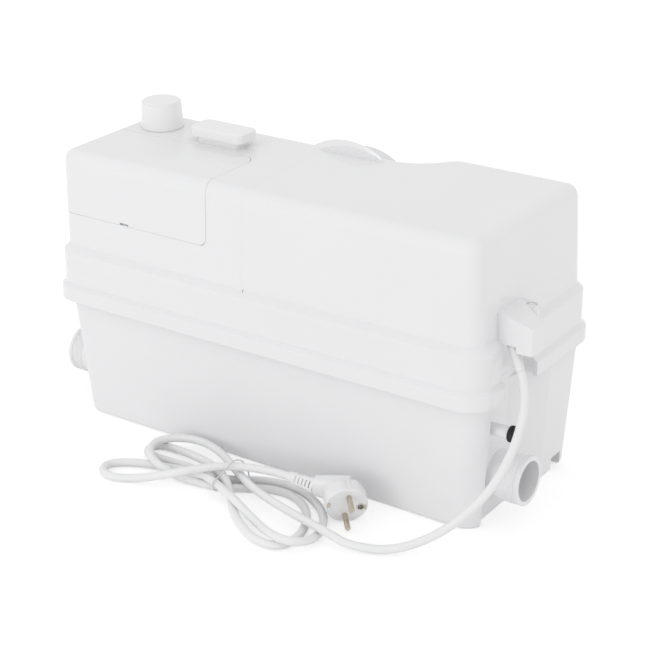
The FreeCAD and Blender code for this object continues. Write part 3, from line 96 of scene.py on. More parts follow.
# %% Wires
class Wire:
    """A socket of a node tree that takes part in plain arithmetic."""

    def __init__(self, tree, socket=None):
        self.tree = tree
        self.socket = socket

    def node(self, kind, settings=None, sockets=None, out=0):
        """Adds a node and returns one of its outputs."""
        made = self.tree.nodes.new(kind)
        for name, value in (settings or {}).items():
            setattr(made, name, value)
        for name, value in (sockets or {}).items():
            if isinstance(value, Wire):
                self.tree.links.new(value.socket, made.inputs[name])
            else:
                made.inputs[name].default_value = value
        return Wire(self.tree, made.outputs[out]) if made.outputs else None

    def maths(self, operation, *values):
        return self.node("ShaderNodeMath", {"operation": operation}, dict(enumerate(values)))

    def __add__(self, other):
        return self.maths("ADD", self, other)

    def __radd__(self, other):
        return self.maths("ADD", other, self)

    def __sub__(self, other):
        return self.maths("SUBTRACT", self, other)

    def __rsub__(self, other):
        return self.maths("SUBTRACT", other, self)

    def __mul__(self, other):
        return self.maths("MULTIPLY", self, other)

    def __rmul__(self, other):
        return self.maths("MULTIPLY", other, self)

    def __abs__(self):
        return self.maths("ABSOLUTE", self)

    def __gt__(self, other):
        return self.maths("GREATER_THAN", self, other)

    def __lt__(self, other):
        return self.maths("LESS_THAN", self, other)

    def clipped(self):
        """The value held between 0 and 1."""
        return self.maths("MAXIMUM", self.maths("MINIMUM", self, 1.0), 0.0)

    def mixed(self, low, high):
        """A colour that goes from low to high as this value goes from 0 to 1."""
        return self.node("ShaderNodeMix", {"data_type": "RGBA"}, {0: self, 6: low, 7: high}, out=2)

    def axes(self):
        """The three numbers of a vector."""
        split = self.tree.nodes.new("ShaderNodeSeparateXYZ")
        self.tree.links.new(self.socket, split.inputs[0])
        return [Wire(self.tree, output) for output in split.outputs]


print("a wire knows", [name for name in vars(Wire) if not name.startswith("__")])

# %% [markdown]
# ## What all finishes share
#
# Nearly every piece is moulded plastic. Its colour drifts by a percent or two where the melt
# flowed, its gloss is broken by handling, and the mould leaves a fine grain. Painted images could
# show this, but they need a flat layout of every piece. Noise textures on Object coordinates need
# none, and those coordinates are metres here, so a size is given as one real length.

# %% Helpers for finishes
FINISHES = {}
FLOW_SIZE = 0.07
HANDLING_SIZE = 0.018


def grey(value):
    return (value, value, value, 1.0)


def scaled(colour, share):
    return tuple(channel * share for channel in colour[:3]) + (1.0,)


def start_finish(name):
    """A new material and the wire that its nodes are drawn from."""
    material = bpy.data.materials.new(name)
    material.use_nodes = True
    material.node_tree.nodes.clear()
    FINISHES[name] = material
    return Wire(material.node_tree)


def noise(start, place, size, detail=2.0, rough=0.5):
    """Soft noise from 0 to 1 whose lumps are size metres across."""
    return start.node("ShaderNodeTexNoise", None,
                      {"Vector": place, "Scale": 1.0 / size, "Detail": detail, "Roughness": rough})


def bumped(start, height, depth):
    """A normal from a height of 0 to 1 that stands depth metres high."""
    return start.node("ShaderNodeBump", None,
                      {"Strength": 1.0, "Distance": depth, "Height": height})


def end_finish(start, sockets):
    shader = start.node("ShaderNodeBsdfPrincipled", None, sockets)
    start.node("ShaderNodeOutputMaterial", None, {"Surface": shader})


def moulded(name, colour, rough, grain_size, grain_depth, drift=0.02, fixed=None):
    """Moulded plastic or rubber: drifting colour, handled gloss and the grain of its mould."""
    start = start_finish(name)
    place = start.node("ShaderNodeTexCoord", out="Object")
    flow = noise(start, place, FLOW_SIZE, 3.0)
    handling = noise(start, place, HANDLING_SIZE, 4.0, 0.6)
    grain = noise(start, place, grain_size)
    sockets = {"Base Color": flow.mixed(scaled(colour, 1 - drift), scaled(colour, 1 + drift)),
               "Roughness": rough * (0.9 + 0.2 * handling),
               "Normal": bumped(start, grain, grain_depth)}
    end_finish(start, {**sockets, **(fixed or {})})


# %% [markdown]
# ## White lid
#
# The lid is the glossy piece: it mirrors the cap, the vent and the hood a little blurred. A faint
# line crosses it where two parts of its mould met, and ends above the band in a small dark tick,
# which is painted shade of the narrow gap at the line's foot. Line and tick could be cut into the
# mesh, but they are finer than its facets. So each is a narrow mask on the X coordinate, bounded by
# a second mask on Z.

# %% Lid finish
WHITE_LID = (0.84, 0.84, 0.85, 1.0)
LID_FLOW, LID_HANDLING, LID_GRAIN, LID_WAVES = 0.09, 0.02, 0.0016, 0.03
LID_ROUGH = 0.09
LID_RELIEF = 0.00003
SEAM_X = -15.0 * MM
SEAM_HALF = 0.22 * MM
SEAM_FOOT = 174.0 * MM
SEAM_STRENGTH = 0.5
SEAM_SHADE = 0.86
SEAM_SUNK = 0.8
# The dark tick is painted shade: a dark colour where a narrow gap opens at the foot of the line.
GAP_SHADE_PLACE = (-12.9 * MM, 170.6 * MM)
GAP_SHADE_HALF = (0.3 * MM, 1.1 * MM)
GAP_SHADE_COLOUR = (0.10, 0.09, 0.08, 1.0)


def lid_finish():
    start = start_finish("lid_plastic")
    place = start.node("ShaderNodeTexCoord", out="Object")
    x, y, z = place.axes()
    seam = (abs(x - SEAM_X) < SEAM_HALF) * (z > SEAM_FOOT)
    # Painted shade of the gap at the line's foot, on the front only.
    gap_shade_x = abs(x - GAP_SHADE_PLACE[0]) < GAP_SHADE_HALF[0]
    gap_shade_z = abs(z - GAP_SHADE_PLACE[1]) < GAP_SHADE_HALF[1]
    gap_shade = gap_shade_x * gap_shade_z * (y < 0.0)
    flow = noise(start, place, LID_FLOW, 3.0)
    handling = noise(start, place, LID_HANDLING, 4.0, 0.6)
    grain = noise(start, place, LID_GRAIN, 1.0)
    waves = noise(start, place, LID_WAVES, 1.0)
    shade = flow.mixed(scaled(WHITE_LID, 0.985), scaled(WHITE_LID, 1.01))
    shade = (seam * SEAM_STRENGTH).mixed(shade, scaled(WHITE_LID, SEAM_SHADE))
    height = grain * 0.25 + waves - seam * SEAM_SUNK
    end_finish(start, {"Base Color": gap_shade.mixed(shade, GAP_SHADE_COLOUR),
                       "Roughness": LID_ROUGH + 0.05 * handling + 0.3 * seam,
                       "Normal": bumped(start, height, LID_RELIEF)})


lid_finish()
print("lid nodes:", len(FINISHES["lid_plastic"].node_tree.nodes))

# %% [markdown]
# ## White tank and caps
#
# The tank is duller than the lid, and its walls carry the long faint drag marks of a deep mould.
# Those are noise squeezed along Z by a Mapping node, which is simpler than drawing each mark. The
# threaded stubs at the ends were turned out of the mould another way, so a mask on X keeps the
# marks off them. The caps are plain moulded plastic.

# %% Tank and cap finishes
WHITE_TANK = (0.85, 0.85, 0.86, 1.0)
WHITE_CAP = (0.87, 0.87, 0.87, 1.0)
TANK_FLOW, TANK_DRAG, TANK_GRAIN = 0.08, 0.006, 0.0012
TANK_ROUGH = 0.34
TANK_RELIEF = 0.00002
DRAG_SQUEEZE = (1.0, 1.0, 0.06)
WALL_END_X = 222.5 * MM


def tank_finish():
    start = start_finish("tank_plastic")
    place = start.node("ShaderNodeTexCoord", out="Object")
    drawn = start.node("ShaderNodeMapping", None, {"Vector": place, "Scale": DRAG_SQUEEZE})
    x, _, _ = place.axes()
    drag = noise(start, drawn, TANK_DRAG, 3.0, 0.6) * (abs(x) < WALL_END_X)
    flow = noise(start, place, TANK_FLOW, 3.0)
    grain = noise(start, place, TANK_GRAIN, 1.0)
    end_finish(start, {"Base Color": flow.mixed(scaled(WHITE_TANK, 0.98), scaled(WHITE_TANK, 1.01)),
                       "Roughness": TANK_ROUGH + 0.1 * drag,
                       "Normal": bumped(start, grain * 0.5 + drag, TANK_RELIEF)})


tank_finish()
moulded("cap_plastic", WHITE_CAP, rough=0.36, grain_size=0.0008, grain_depth=0.00001, drift=0.01)
print("white finishes:", list(FINISHES))

# %% [markdown]
# ## Grey, black and rubber
#
# Inside the housing the parts are made for work, not for show: grey polypropylene, black rubber
# that never shines, a green circuit board and charcoal foam in the vent. One table holds what sets
# the moulded ones apart, because they differ only in numbers. The foam is full of pores, so a
# Voronoi texture drives its bump and its colour, with painted shade that darkens each pore.

# %% Working plastics and rubber
# Each row: colour, roughness, size and depth of the grain in metres, drift of the colour.
WORKING_PLASTICS = {
    "grey_plastic": ((0.42, 0.43, 0.45, 1.0), 0.42, 0.0011, 0.00003, 0.02),
    "black_plastic": ((0.012, 0.012, 0.014, 1.0), 0.45, 0.0008, 0.00002, 0.1),
    "rubber_black": ((0.022, 0.022, 0.023, 1.0), 0.72, 0.0006, 0.00003, 0.15),
    "rubber_grey": ((0.80, 0.80, 0.81, 1.0), 0.55, 0.0007, 0.00003, 0.03),
    "circuit_board": ((0.03, 0.17, 0.07, 1.0), 0.3, 0.0005, 0.00001, 0.06)}
PORES_PER_METRE = 900.0
PORE_DEPTH = 0.0005


def foam_finish():
    start = start_finish("charcoal_foam")
    place = start.node("ShaderNodeTexCoord", out="Object")
    pores = start.node("ShaderNodeTexVoronoi", {"feature": "F1"},
                       {"Vector": place, "Scale": PORES_PER_METRE})
    # The pores are painted darker than their walls: painted shade in the hollows.
    walls_and_pore_shade = (pores * 1.4).clipped()
    end_finish(start, {"Base Color": walls_and_pore_shade.mixed(grey(0.01), grey(0.07)), "Roughness": 0.95,
                       "Normal": bumped(start, walls_and_pore_shade, PORE_DEPTH)})


for finish_name, values in WORKING_PLASTICS.items():
    moulded(finish_name, *values)
foam_finish()
print("finishes so far:", len(FINISHES))

# %% [markdown]
# ## Metals
#
# A metal's colour is the colour of its reflection, so it needs Metallic 1 and a well chosen
# roughness. Turned steel shows a fine grain, cast aluminium a coarse skin, and the plug's nickel
# plating has a warm tint from the brass below it. The motor can wears a dark enamel, which is not
# a metal to look at but a coat over one, so it is made as a moulded finish with a clear coat.

# %% Metal finishes
# Each row: colour, roughness, size and depth of the grain in metres, drift of the colour.
METALS = {
    "steel": ((0.60, 0.60, 0.61, 1.0), 0.28, 0.0004, 0.000006, 0.06),
    "aluminium": ((0.70, 0.70, 0.71, 1.0), 0.48, 0.0009, 0.00004, 0.06),
    "brass_nickel": ((0.56, 0.50, 0.42, 1.0), 0.2, 0.0005, 0.000004, 0.12)}
STAIN_SIZE = 0.012
ENAMEL = (0.07, 0.08, 0.10, 1.0)


def metal(name, colour, rough, grain_size, grain_depth, drift):
    start = start_finish(name)
    place = start.node("ShaderNodeTexCoord", out="Object")
    grain = noise(start, place, grain_size, 3.0, 0.6)
    stain = noise(start, place, STAIN_SIZE, 3.0)
    sockets = {"Base Color": stain.mixed(scaled(colour, 1 - drift), scaled(colour, 1 + drift)),
               "Metallic": 1.0,
               "Roughness": rough * (0.8 + 0.4 * grain),
               "Normal": bumped(start, grain, grain_depth)}
    end_finish(start, sockets)


for finish_name, values in METALS.items():
    metal(finish_name, *values)
moulded("motor_paint", ENAMEL, rough=0.3, grain_size=0.0014, grain_depth=0.00002, drift=0.08,
        fixed={"Coat Weight": 0.4})
print("metals:", list(METALS))

# %% [markdown]
# ## The lead's jacket and the tie
#
# The jacket is soft white PVC: a little duller than the lid, with the lay of the wires inside just
# felt as a slow wave. The tie that holds the hank is a thin wire in a clear plastic skin, which
# looks pale grey from a step away. A see-through skin would cost many more rays for a line half a
# pixel wide, so it is an opaque grey.

# %% Cord finishes
moulded("cord_pvc", (0.85, 0.85, 0.855, 1.0), rough=0.34, grain_size=0.004, grain_depth=0.00004,
        drift=0.01)
moulded("tie_wire", (0.66, 0.66, 0.66, 1.0), rough=0.3, grain_size=0.0012, grain_depth=0.00002,
        drift=0.03)
print("all finishes:", len(FINISHES))

# %% [markdown]
# ## Dressing the frame
#
# Each CAD node arrives with one material slot, and the record says which finish belongs to it. A
# loop puts the right finish in each slot, so no node is left in a flat colour.

# %% Dress the nodes
slot_of = {part["node"]: part["material_slot"] for part in frame["record"]["subparts"]}
for node_name, node in frame["nodes"].items():
    for holder in node.material_slots:
        holder.material = FINISHES[slot_of[node_name]]
print("nodes dressed:", len(slot_of))

# %% [markdown]
# ## Pieces made here
#
# A piece that this lesson adds needs the same few things every time: a mesh in one finish, an
# object in the scene, and a body that it moves with. One function does all of it. Its first use is
# for two nodes that are pale on this object, the seal under the lid's rim and the strap round the
# pan sleeve. The record gives them a dark rubber and a steel, and recolouring the nodes would say
# otherwise. So each is shown by a copy of its own shape in a paler finish.

# %% Pale copies
def finished_piece(name, mesh, finish, body="station", smooth=None):
    """An object for a mesh, in one finish and riding on a body."""
    mesh.name = name
    mesh.materials.clear()
    mesh.materials.append(FINISHES[finish])
    mesh.polygons.foreach_set("material_index", [0] * len(mesh.polygons))
    if smooth is not None:
        mesh.polygons.foreach_set("use_smooth", [smooth] * len(mesh.polygons))
    piece = bpy.data.objects.new(name, mesh)
    bpy.context.scene.collection.objects.link(piece)
    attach(piece, body)
    return piece


def pale_copy(name, node, finish):
    """A piece of the node's own shape in a paler finish, shown in its place."""
    mesh = frame["nodes"][node].data.copy()
    mesh.transform(frame["nodes"][node].matrix_world)
    piece = finished_piece(name, mesh, finish)
    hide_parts(node)
    print(name, "stands for", node, "with", len(mesh.polygons), "faces")


pale_copy("rim_seal", "tank_gasket", "rubber_grey")
pale_copy("sleeve_strap", "sleeve_clamp", "cap_plastic")

# %% [markdown]
# ## The mains lead
# A lead is one flexible line. A mesh tube would need a ring wherever it bends, while a curve with
# a round bevel keeps its few control points and stays smooth at any nearness. A NURBS spline
# passes close to its points, which are those of the solid's route, chosen along the photographed
# lead: out of the hood, down to the floor, and round the loops of the hank.

# %% The lead's route
hang_points = [(230.8, -36.4, 166.0), (236.6, -38.0, 152.5), (246.0, -41.5, 134.0),
               (251.0, -52.0, 111.0), (252.0, -70.0, 88.0), (245.0, -87.0, 62.0),
               (229.0, -101.0, 38.0), (205.0, -114.0, 14.5), (178.0, -137.0, 4.0),
               (146.0, -150.0, 5.6)]
hank_points = [
    # on to the tie, over both right-hand loops
    (130.0, -151.6, 11.0), (113.4, -149.8, 13.0), (85.5, -142.8, 12.5),
    (55.8, -134.3, 12.1), (28.7, -124.6, 12.0), (1.6, -109.5, 12.0),
    # rear left-hand loop
    (-32.8, -87.7, 12.0), (-58.4, -79.6, 12.0), (-76.7, -82.2, 12.0), (-90.4, -90.7, 12.0),
    (-96.7, -103.8, 12.0), (-91.7, -119.2, 12.0), (-77.1, -132.0, 12.0), (-59.1, -137.4, 10.2),
    (-43.0, -133.4, 3.9), (-24.3, -131.1, 3.9), (-6.7, -128.7, 3.9), (7.4, -122.0, 3.9),
    # first right-hand loop
    (22.0, -112.3, 3.9), (38.2, -104.8, 3.9), (58.1, -104.5, 3.9), (79.6, -116.4, 3.9),
    (95.5, -137.9, 3.9), (102.8, -162.8, 3.9), (96.6, -181.9, 3.9), (76.2, -183.9, 3.9),
    (53.1, -172.7, 3.9), (31.8, -156.4, 3.9), (18.9, -142.9, 3.9), (9.7, -133.4, 8.4),
    (1.4, -126.0, 12.0),
    # middle left-hand loop, a narrow one
    (-15.7, -114.8, 12.0), (-39.6, -105.7, 10.7), (-69.3, -95.6, 5.6), (-92.3, -93.6, 3.9),
    (-100.6, -96.4, 3.9), (-104.2, -104.0, 3.9), (-100.6, -111.6, 3.9), (-91.5, -115.2, 3.9),
    (-77.9, -114.8, 3.9), (-47.0, -112.9, 3.9), (-26.9, -115.2, 3.9), (-8.3, -114.0, 3.9),
    (9.2, -102.3, 3.9),
    # second right-hand loop
    (27.6, -93.9, 3.9), (50.2, -91.5, 3.9), (75.8, -99.6, 3.9), (99.5, -117.6, 3.9),
    (111.5, -138.8, 3.9), (116.0, -158.2, 5.6), (114.3, -175.5, 10.9), (104.4, -182.7, 13.0),
    (87.0, -179.0, 11.4), (60.0, -161.8, 5.6), (37.7, -153.0, 9.6), (22.9, -147.8, 13.0),
    (6.5, -140.1, 12.5), (-8.4, -133.3, 12.1),
    # front left-hand loop
    (-20.8, -129.8, 12.3), (-30.0, -129.0, 12.3), (-43.8, -124.2, 7.4), (-58.6, -122.8, 3.9),
    (-73.7, -126.1, 3.9), (-92.4, -131.7, 3.9), (-108.3, -140.6, 3.9), (-116.1, -150.8, 3.9),
    (-111.4, -162.4, 3.9), (-95.6, -166.4, 3.9), (-76.5, -155.9, 3.9), (-55.8, -151.1, 10.2),
    (-35.0, -148.3, 19.1),
    # over everything at the tie and on to the plug
    (-21.4, -133.8, 20.7), (-7.2, -120.0, 20.7), (10.1, -110.2, 20.7), (28.4, -106.6, 21.6),
    (43.0, -105.2, 22.1), (55.2, -105.5, 22.3)]
lead_points = hang_points + hank_points
print("control points of the lead:", len(lead_points))

# %% Lead
LEAD_RADIUS = 3.7 * MM
SPLINE_ORDER = 3
STEPS_PER_POINT = 10


def round_line(name, points, radius, roundness, finish, *nodes):
    """A round line through points in millimetres, shown in the place of nodes."""
    curve = bpy.data.curves.new(name, "CURVE")
    curve.dimensions = "3D"
    curve.bevel_depth = radius
    curve.bevel_resolution = roundness
    curve.use_fill_caps = True
    curve.materials.append(FINISHES[finish])
    spline = curve.splines.new("NURBS")
    spline.points.add(len(points) - 1)
    for point, (x, y, z) in zip(spline.points, points):
        point.co = (x * MM, y * MM, z * MM, 1.0)
    spline.order_u = SPLINE_ORDER
    spline.use_endpoint_u = True
    spline.resolution_u = STEPS_PER_POINT
    line = bpy.data.objects.new(name, curve)
    bpy.context.scene.collection.objects.link(line)
    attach(line, "station")
    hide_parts(*nodes)
    return line


lead = round_line("mains_lead", lead_points, LEAD_RADIUS, 5, "cord_pvc", "power_cord", "cord_hank")
print("lead length", round(lead.data.splines[0].calc_length(), 3), "m")

# %% [markdown]
# ## Shapes from rings
#
# The plug, its boot and the small seals further down are all stacks of rings: a row of outlines
# with the same count of points, joined by four-sided faces and closed at both ends. A box is the
# shortest stack, with two rings of four points.

# %% Meshes from rings
def turns(count):
    """Angles that share a full turn into equal steps."""
    return [2 * math.pi * k / count for k in range(count)]


def ring_mesh(name, rings):
    """A closed mesh through rings of points that all have the same count."""
    count = len(rings[0])
    last = (len(rings) - 1) * count
    faces = [tuple(range(count))[::-1], tuple(range(last, last + count))]
    for first in range(0, last, count):
        for turn in range(count):
            low, after = first + turn, first + (turn + 1) % count
            faces.append((low, after, after + count, low + count))
    mesh = bpy.data.meshes.new(name)
    mesh.from_pydata([tuple(v) for ring in rings for v in ring], [], faces)
    return mesh


def box_mesh(centre, axes, half):
    """A box round a place, from three directions and three half sizes in millimetres."""
    def flat(level):
        return [(centre + axes[0] * a * half[0] + axes[1] * b * half[1]
                 + axes[2] * level * half[2]) * MM
                for a, b in ((-1, -1), (1, -1), (1, 1), (-1, 1))]
    return ring_mesh("box", [flat(-1), flat(1)])


print("an octagon turns by", round(math.degrees(turns(8)[1]), 1), "degrees a step")

# %% [markdown]
# ## Joining and cutting
#
# Holes and notches are hard to draw as rings, so they are cut: a Boolean modifier takes one mesh
# from another, or joins two. The modifiers run once, their result is kept as a plain mesh, and the
# helpers are thrown away. Edges sharper than a limit stay crisp and the rest is shaded smooth.

# %% Booleans that end as a plain mesh
SHARP_FROM = 0.6


def evaluated_mesh(holder):
    """The mesh that an object shows once its modifiers or its curve have run."""
    bpy.context.view_layer.update()
    graph = bpy.context.evaluated_depsgraph_get()
    return bpy.data.meshes.new_from_object(holder.evaluated_get(graph))


def combined(name, first, steps, finish):
    """One piece from a first mesh and Boolean steps, each a pair of operation and mesh."""
    start = bpy.data.objects.new(name, first)
    bpy.context.scene.collection.objects.link(start)
    helpers = []
    for operation, mesh in steps:
        helper = bpy.data.objects.new("helper", mesh)
        bpy.context.scene.collection.objects.link(helper)
        helpers.append(helper)
        modifier = start.modifiers.new(operation, "BOOLEAN")
        modifier.operation = operation
        modifier.solver = "EXACT"
        modifier.object = helper
    mesh = evaluated_mesh(start)
    for extra in helpers + [start]:
        bpy.data.objects.remove(extra)
    mesh.set_sharp_from_angle(angle=SHARP_FROM)
    print(name, "has", len(mesh.polygons), "faces after", len(steps), "steps")
    return finished_piece(name, mesh, finish, smooth=True)


print("edges stay sharp from", round(math.degrees(SHARP_FROM)), "degrees on")

# %% [markdown]
# ## The plug's own directions
#
# The plug lies turned on the floor, so nothing of it is parallel to X, Y or Z. Modelling it upright
# and turning it after would leave a turned object. So all of it is measured from the middle of its
# face along three directions: towards the side clips, along the pair of pins, and away from them.

# %% Places in the plug
FACE_MIDDLE = Vector((119.7, -113.6, 17.4))
PIN_WAY = Vector((0.6645, -0.7231, -0.1887)).normalized()
TO_CLIP = Vector((-0.707, -0.690, 0.155))
BAR_SIDES = 32

rear = -PIN_WAY
side = (TO_CLIP - rear * TO_CLIP.dot(rear)).normalized()
across = rear.cross(side)


def plug_place(u, v, w):
    """A place from millimetres towards the clip, along the pins' pair and to the rear."""
    return FACE_MIDDLE + side * u + across * v + rear * w


def block(u, v, w, half):
    """A box round a place in the plug's directions."""
    return box_mesh(plug_place(u, v, w), (side, across, rear), half)


def round_bar(u, v, layers):
    """A turned bar along the pins' direction, from pairs of depth and radius."""
    return ring_mesh("bar", [[plug_place(u + r * math.cos(a), v + r * math.sin(a), w) * MM
                              for a in turns(BAR_SIDES)] for w, r in layers])


print("the pins point along", tuple(round(v, 2) for v in PIN_WAY))

# %% [markdown]
# ## The plug's head and arm
#
# The plug is an angled one: a thick head with flat grips above and below, and an arm that leaves
# its back at a slant. The head's outline is a circle cut by two flats and softly by four corners.
# Taking the least of those limits would leave sharp corners, so they are blended by a power mean.
# The arm is a rounded box that grows towards the head. Holes for pins and earth and the grips'
# grooves are cut last.

# %% Measures of the head and the arm
HEAD_R = 18.5
GRIP_FLAT = 17.0
CORNER_FLAT = 18.0
CORNER_BLEND = 24.0
HEAD_SIDES = 96
HEAD_LAYERS = [(0.0, 0.8), (0.8, 0.0), (14.2, 0.0), (16.2, 0.7), (17.4, 2.2), (18.0, 4.6)]
NEVER_ZERO = 1e-6
PIN_R = 2.4
PIN_HALF_SPACE = 9.5
PIN_HOLE = [(-1.0, PIN_R), (11.0, PIN_R)]
EARTH_HOLE_AT = -12.0
EARTH_HOLE_R = 2.6
EARTH_HOLE = [(-1.0, EARTH_HOLE_R), (12.0, EARTH_HOLE_R)]
GROOVES_AT = (-6.2, -2.2, 2.4, 6.6)
GROOVE_MIDDLE = 9.0
GROOVE_HALF = (0.25, 0.5, 5.6)
ARM_SIDES = 48
ARM_FOOT = Vector((82.0, -106.1, 22.3))
ARM_END = plug_place(-4.0, 3.2, 17.0)
# Each layer: share of the arm's length, half height, half width, squareness.
ARM_LAYERS = [(0.0, 8.3, 7.5, 2.6), (0.3, 9.4, 7.9, 3.6), (0.7, 10.4, 8.4, 6.0),
              (0.96, 11.0, 8.6, 8.0), (1.0, 10.4, 8.0, 7.0)]
print("arm length", round((ARM_END - ARM_FOOT).length, 1), "mm")

# %% Head and arm
def head_ring(depth, inset):
    """A ring round the head: a circle with two grip flats and softly flattened corners."""
    ring = []
    for angle in turns(HEAD_SIDES):
        limits = [HEAD_R, GRIP_FLAT / max(abs(math.sin(angle)), NEVER_ZERO)]
        limits += [CORNER_FLAT / max(abs(math.cos(angle + turn)), NEVER_ZERO)
                   for turn in (math.pi / 4, -math.pi / 4)]
        reach = sum(limit ** -CORNER_BLEND for limit in limits) ** (-1 / CORNER_BLEND) - inset
        ring.append(plug_place(reach * math.cos(angle), reach * math.sin(angle), depth) * MM)
    return ring


def arm_ring(centre, way, tall, wide, squareness):
    """A ring round an axis: a rounded box that is tall upwards and wide sideways."""
    upward = (across - way * across.dot(way)).normalized()
    sideways = way.cross(upward)
    ring = []
    for angle in turns(ARM_SIDES):
        c, s = math.cos(angle), math.sin(angle)
        grow = (abs(c) ** squareness + abs(s) ** squareness) ** (-1 / squareness)
        ring.append((centre + upward * tall * grow * c + sideways * wide * grow * s) * MM)
    return ring


arm_way = (ARM_END - ARM_FOOT).normalized()
arm = ring_mesh("arm", [arm_ring(ARM_FOOT.lerp(ARM_END, share), arm_way, tall, wide, squareness)
                        for share, tall, wide, squareness in ARM_LAYERS])
cuts = [round_bar(0.0, v, PIN_HOLE) for v in (-PIN_HALF_SPACE, PIN_HALF_SPACE)]
cuts += [round_bar(EARTH_HOLE_AT, 0.0, EARTH_HOLE)]
cuts += [block(u, GRIP_FLAT, GROOVE_MIDDLE, GROOVE_HALF) for u in GROOVES_AT]
head = ring_mesh("head", [head_ring(depth, inset) for depth, inset in HEAD_LAYERS])
plug_head = combined("plug_head", head, [("UNION", arm)] + [("DIFFERENCE", cut) for cut in cuts],
                     "cord_pvc")
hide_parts("plug_body")

# %% [markdown]
# ## Pins and earth clips
#
# Two round pins stand out of the face, with turned tips. The earth comes twice: as spring clips in
# the notches of both sides, and as a lined hole for sockets that have an earth pin of their own.
# All of it is plated brass and small, so plain bars and blocks joined together say enough.

# %% Pins and clips
PIN_LAYERS = [(-19.0, PIN_R - 1.1), (-18.5, PIN_R - 0.4), (-17.6, PIN_R), (10.0, PIN_R - 0.05)]
CLIP_PRONG_IN = 3.0
CLIP_PRONG_SPACE = 1.3
CLIP_PRONG_HALF = (1.2, 0.6, 0.5)
CLIP_BACK_IN = 2.1
CLIP_BACK_HALF = (0.5, 2.2, 0.7)
COLLAR = [(-0.3, EARTH_HOLE_R + 1.0), (2.0, EARTH_HOLE_R + 1.0)]
COLLAR_BORE = [(-1.0, EARTH_HOLE_R), (3.0, EARTH_HOLE_R)]

plug_contacts = combined("plug_contacts", round_bar(0.0, PIN_HALF_SPACE, PIN_LAYERS),
                         [("UNION", round_bar(0.0, -PIN_HALF_SPACE, PIN_LAYERS))], "brass_nickel")
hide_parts("plug_pins")

clip_parts = [block(way * (HEAD_R - CLIP_PRONG_IN), v, 0.0, CLIP_PRONG_HALF)
              for way in (-1, 1) for v in (-CLIP_PRONG_SPACE, CLIP_PRONG_SPACE)]
clip_parts += [block(way * (HEAD_R - CLIP_BACK_IN), 0.0, 0.0, CLIP_BACK_HALF) for way in (-1, 1)]
clip_steps = [("UNION", part) for part in clip_parts[1:]]
clip_steps += [("UNION", round_bar(EARTH_HOLE_AT, 0.0, COLLAR)),
               ("DIFFERENCE", round_bar(EARTH_HOLE_AT, 0.0, COLLAR_BORE))]
plug_clips = combined("plug_clips", clip_parts[0], clip_steps, "brass_nickel")
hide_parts("plug_earth")

# %% [markdown]
# ## The plug's boot
#
# Behind the arm a tapered boot lets the lead bend gently. Four rows of slots make it soft, and a
# core round the lead stays whole. The boot is a cone of two rings, and each slot is a box that
# stops short of the core.

# %% Boot
BOOT_FOOT = Vector((83.2, -106.1, 21.4))
BOOT_TIP = Vector((55.4, -105.5, 22.3))
BOOT_RADII = (7.3, 4.9)
BOOT_CORE = 4.4
BOOT_TURN = math.radians(30.0)
SLOT_COUNT = 5
SLOT_START = 3.6
SLOT_PITCH = 3.9
SLOT_DEEP = 5.0
SLOT_HALF = (0.75, 2.9, SLOT_DEEP)
ROUND = 2.0

boot_way = (BOOT_TIP - BOOT_FOOT).normalized()
boot_side = boot_way.cross(Vector((0.0, 0.0, 1.0))).normalized()
boot_up = boot_side.cross(boot_way)
slots = []
for quarter in range(4):
    turn = BOOT_TURN + quarter * math.pi / 2
    outward = boot_up * math.sin(turn) + Vector((0.0, -1.0, 0.0)) * math.cos(turn)
    outward = (outward - boot_way * outward.dot(boot_way)).normalized()
    slot_axes = (boot_way, outward.cross(boot_way), outward)
    for k in range(SLOT_COUNT):
        middle = (BOOT_FOOT + boot_way * (SLOT_START + k * SLOT_PITCH)
                  + outward * (BOOT_CORE + SLOT_DEEP))
        slots.append(box_mesh(middle, slot_axes, SLOT_HALF))
cone = ring_mesh("cone", [arm_ring(place, boot_way, radius, radius, ROUND)
                          for place, radius in zip((BOOT_FOOT, BOOT_TIP), BOOT_RADII)])
plug_boot = combined("plug_boot", cone, [("DIFFERENCE", slot) for slot in slots], "cord_pvc")
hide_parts("plug_relief")

# %% [markdown]
# ## Strain relief and tie
#
# Where the lead leaves its gland a tapered sleeve stops it from kinking. It is a stack of rings
# that follows the lead's own line, so the line is first turned into a row of points. The tie is a
# thin wire in a clear skin, drawn diagonally over the strands and tucked under the front one. Like
# the lead it is a curve, and its arch is given as pairs of a place across the strands and a height.

# %% Strain relief
RELIEF_RADII = (4.75 * MM, 4.05 * MM)
RELIEF_LENGTH = 24.0 * MM
RELIEF_SIDES = 28


def points_of(line):
    """The points of a curve object's smooth line, without its bevel."""
    bare = line.copy()
    bare.data = line.data.copy()
    bare.data.bevel_depth = 0.0
    bpy.context.scene.collection.objects.link(bare)
    places = [vertex.co.copy() for vertex in evaluated_mesh(bare).vertices]
    bpy.data.objects.remove(bare)
    return places


def tapered_tube(name, places, radii, finish):
    """A closed tube through places, with a radius at each of them."""
    rings = []
    out = Vector((0.0, 0.0, 1.0))
    for k, (place, radius) in enumerate(zip(places, radii)):
        way = (places[min(k + 1, len(places) - 1)] - places[max(k - 1, 0)]).normalized()
        out = (out - way * out.dot(way)).normalized()
        other = way.cross(out)
        rings.append([place + (out * math.cos(a) + other * math.sin(a)) * radius
                      for a in turns(RELIEF_SIDES)])
    finished_piece(name, ring_mesh(name, rings), finish, smooth=True)


lead_places = points_of(lead)
relief_places, relief_radii, gone = [], [], 0.0
narrowing = RELIEF_RADII[1] - RELIEF_RADII[0]
for here, after in zip(lead_places, lead_places[1:]):
    relief_places.append(here)
    relief_radii.append(RELIEF_RADII[0] + narrowing * gone / RELIEF_LENGTH)
    gone += (after - here).length
    if gone > RELIEF_LENGTH:
        break
tapered_tube("lead_relief", relief_places, relief_radii, "cord_pvc")
print("relief rings", len(relief_places), "over", round(gone, 4), "m")

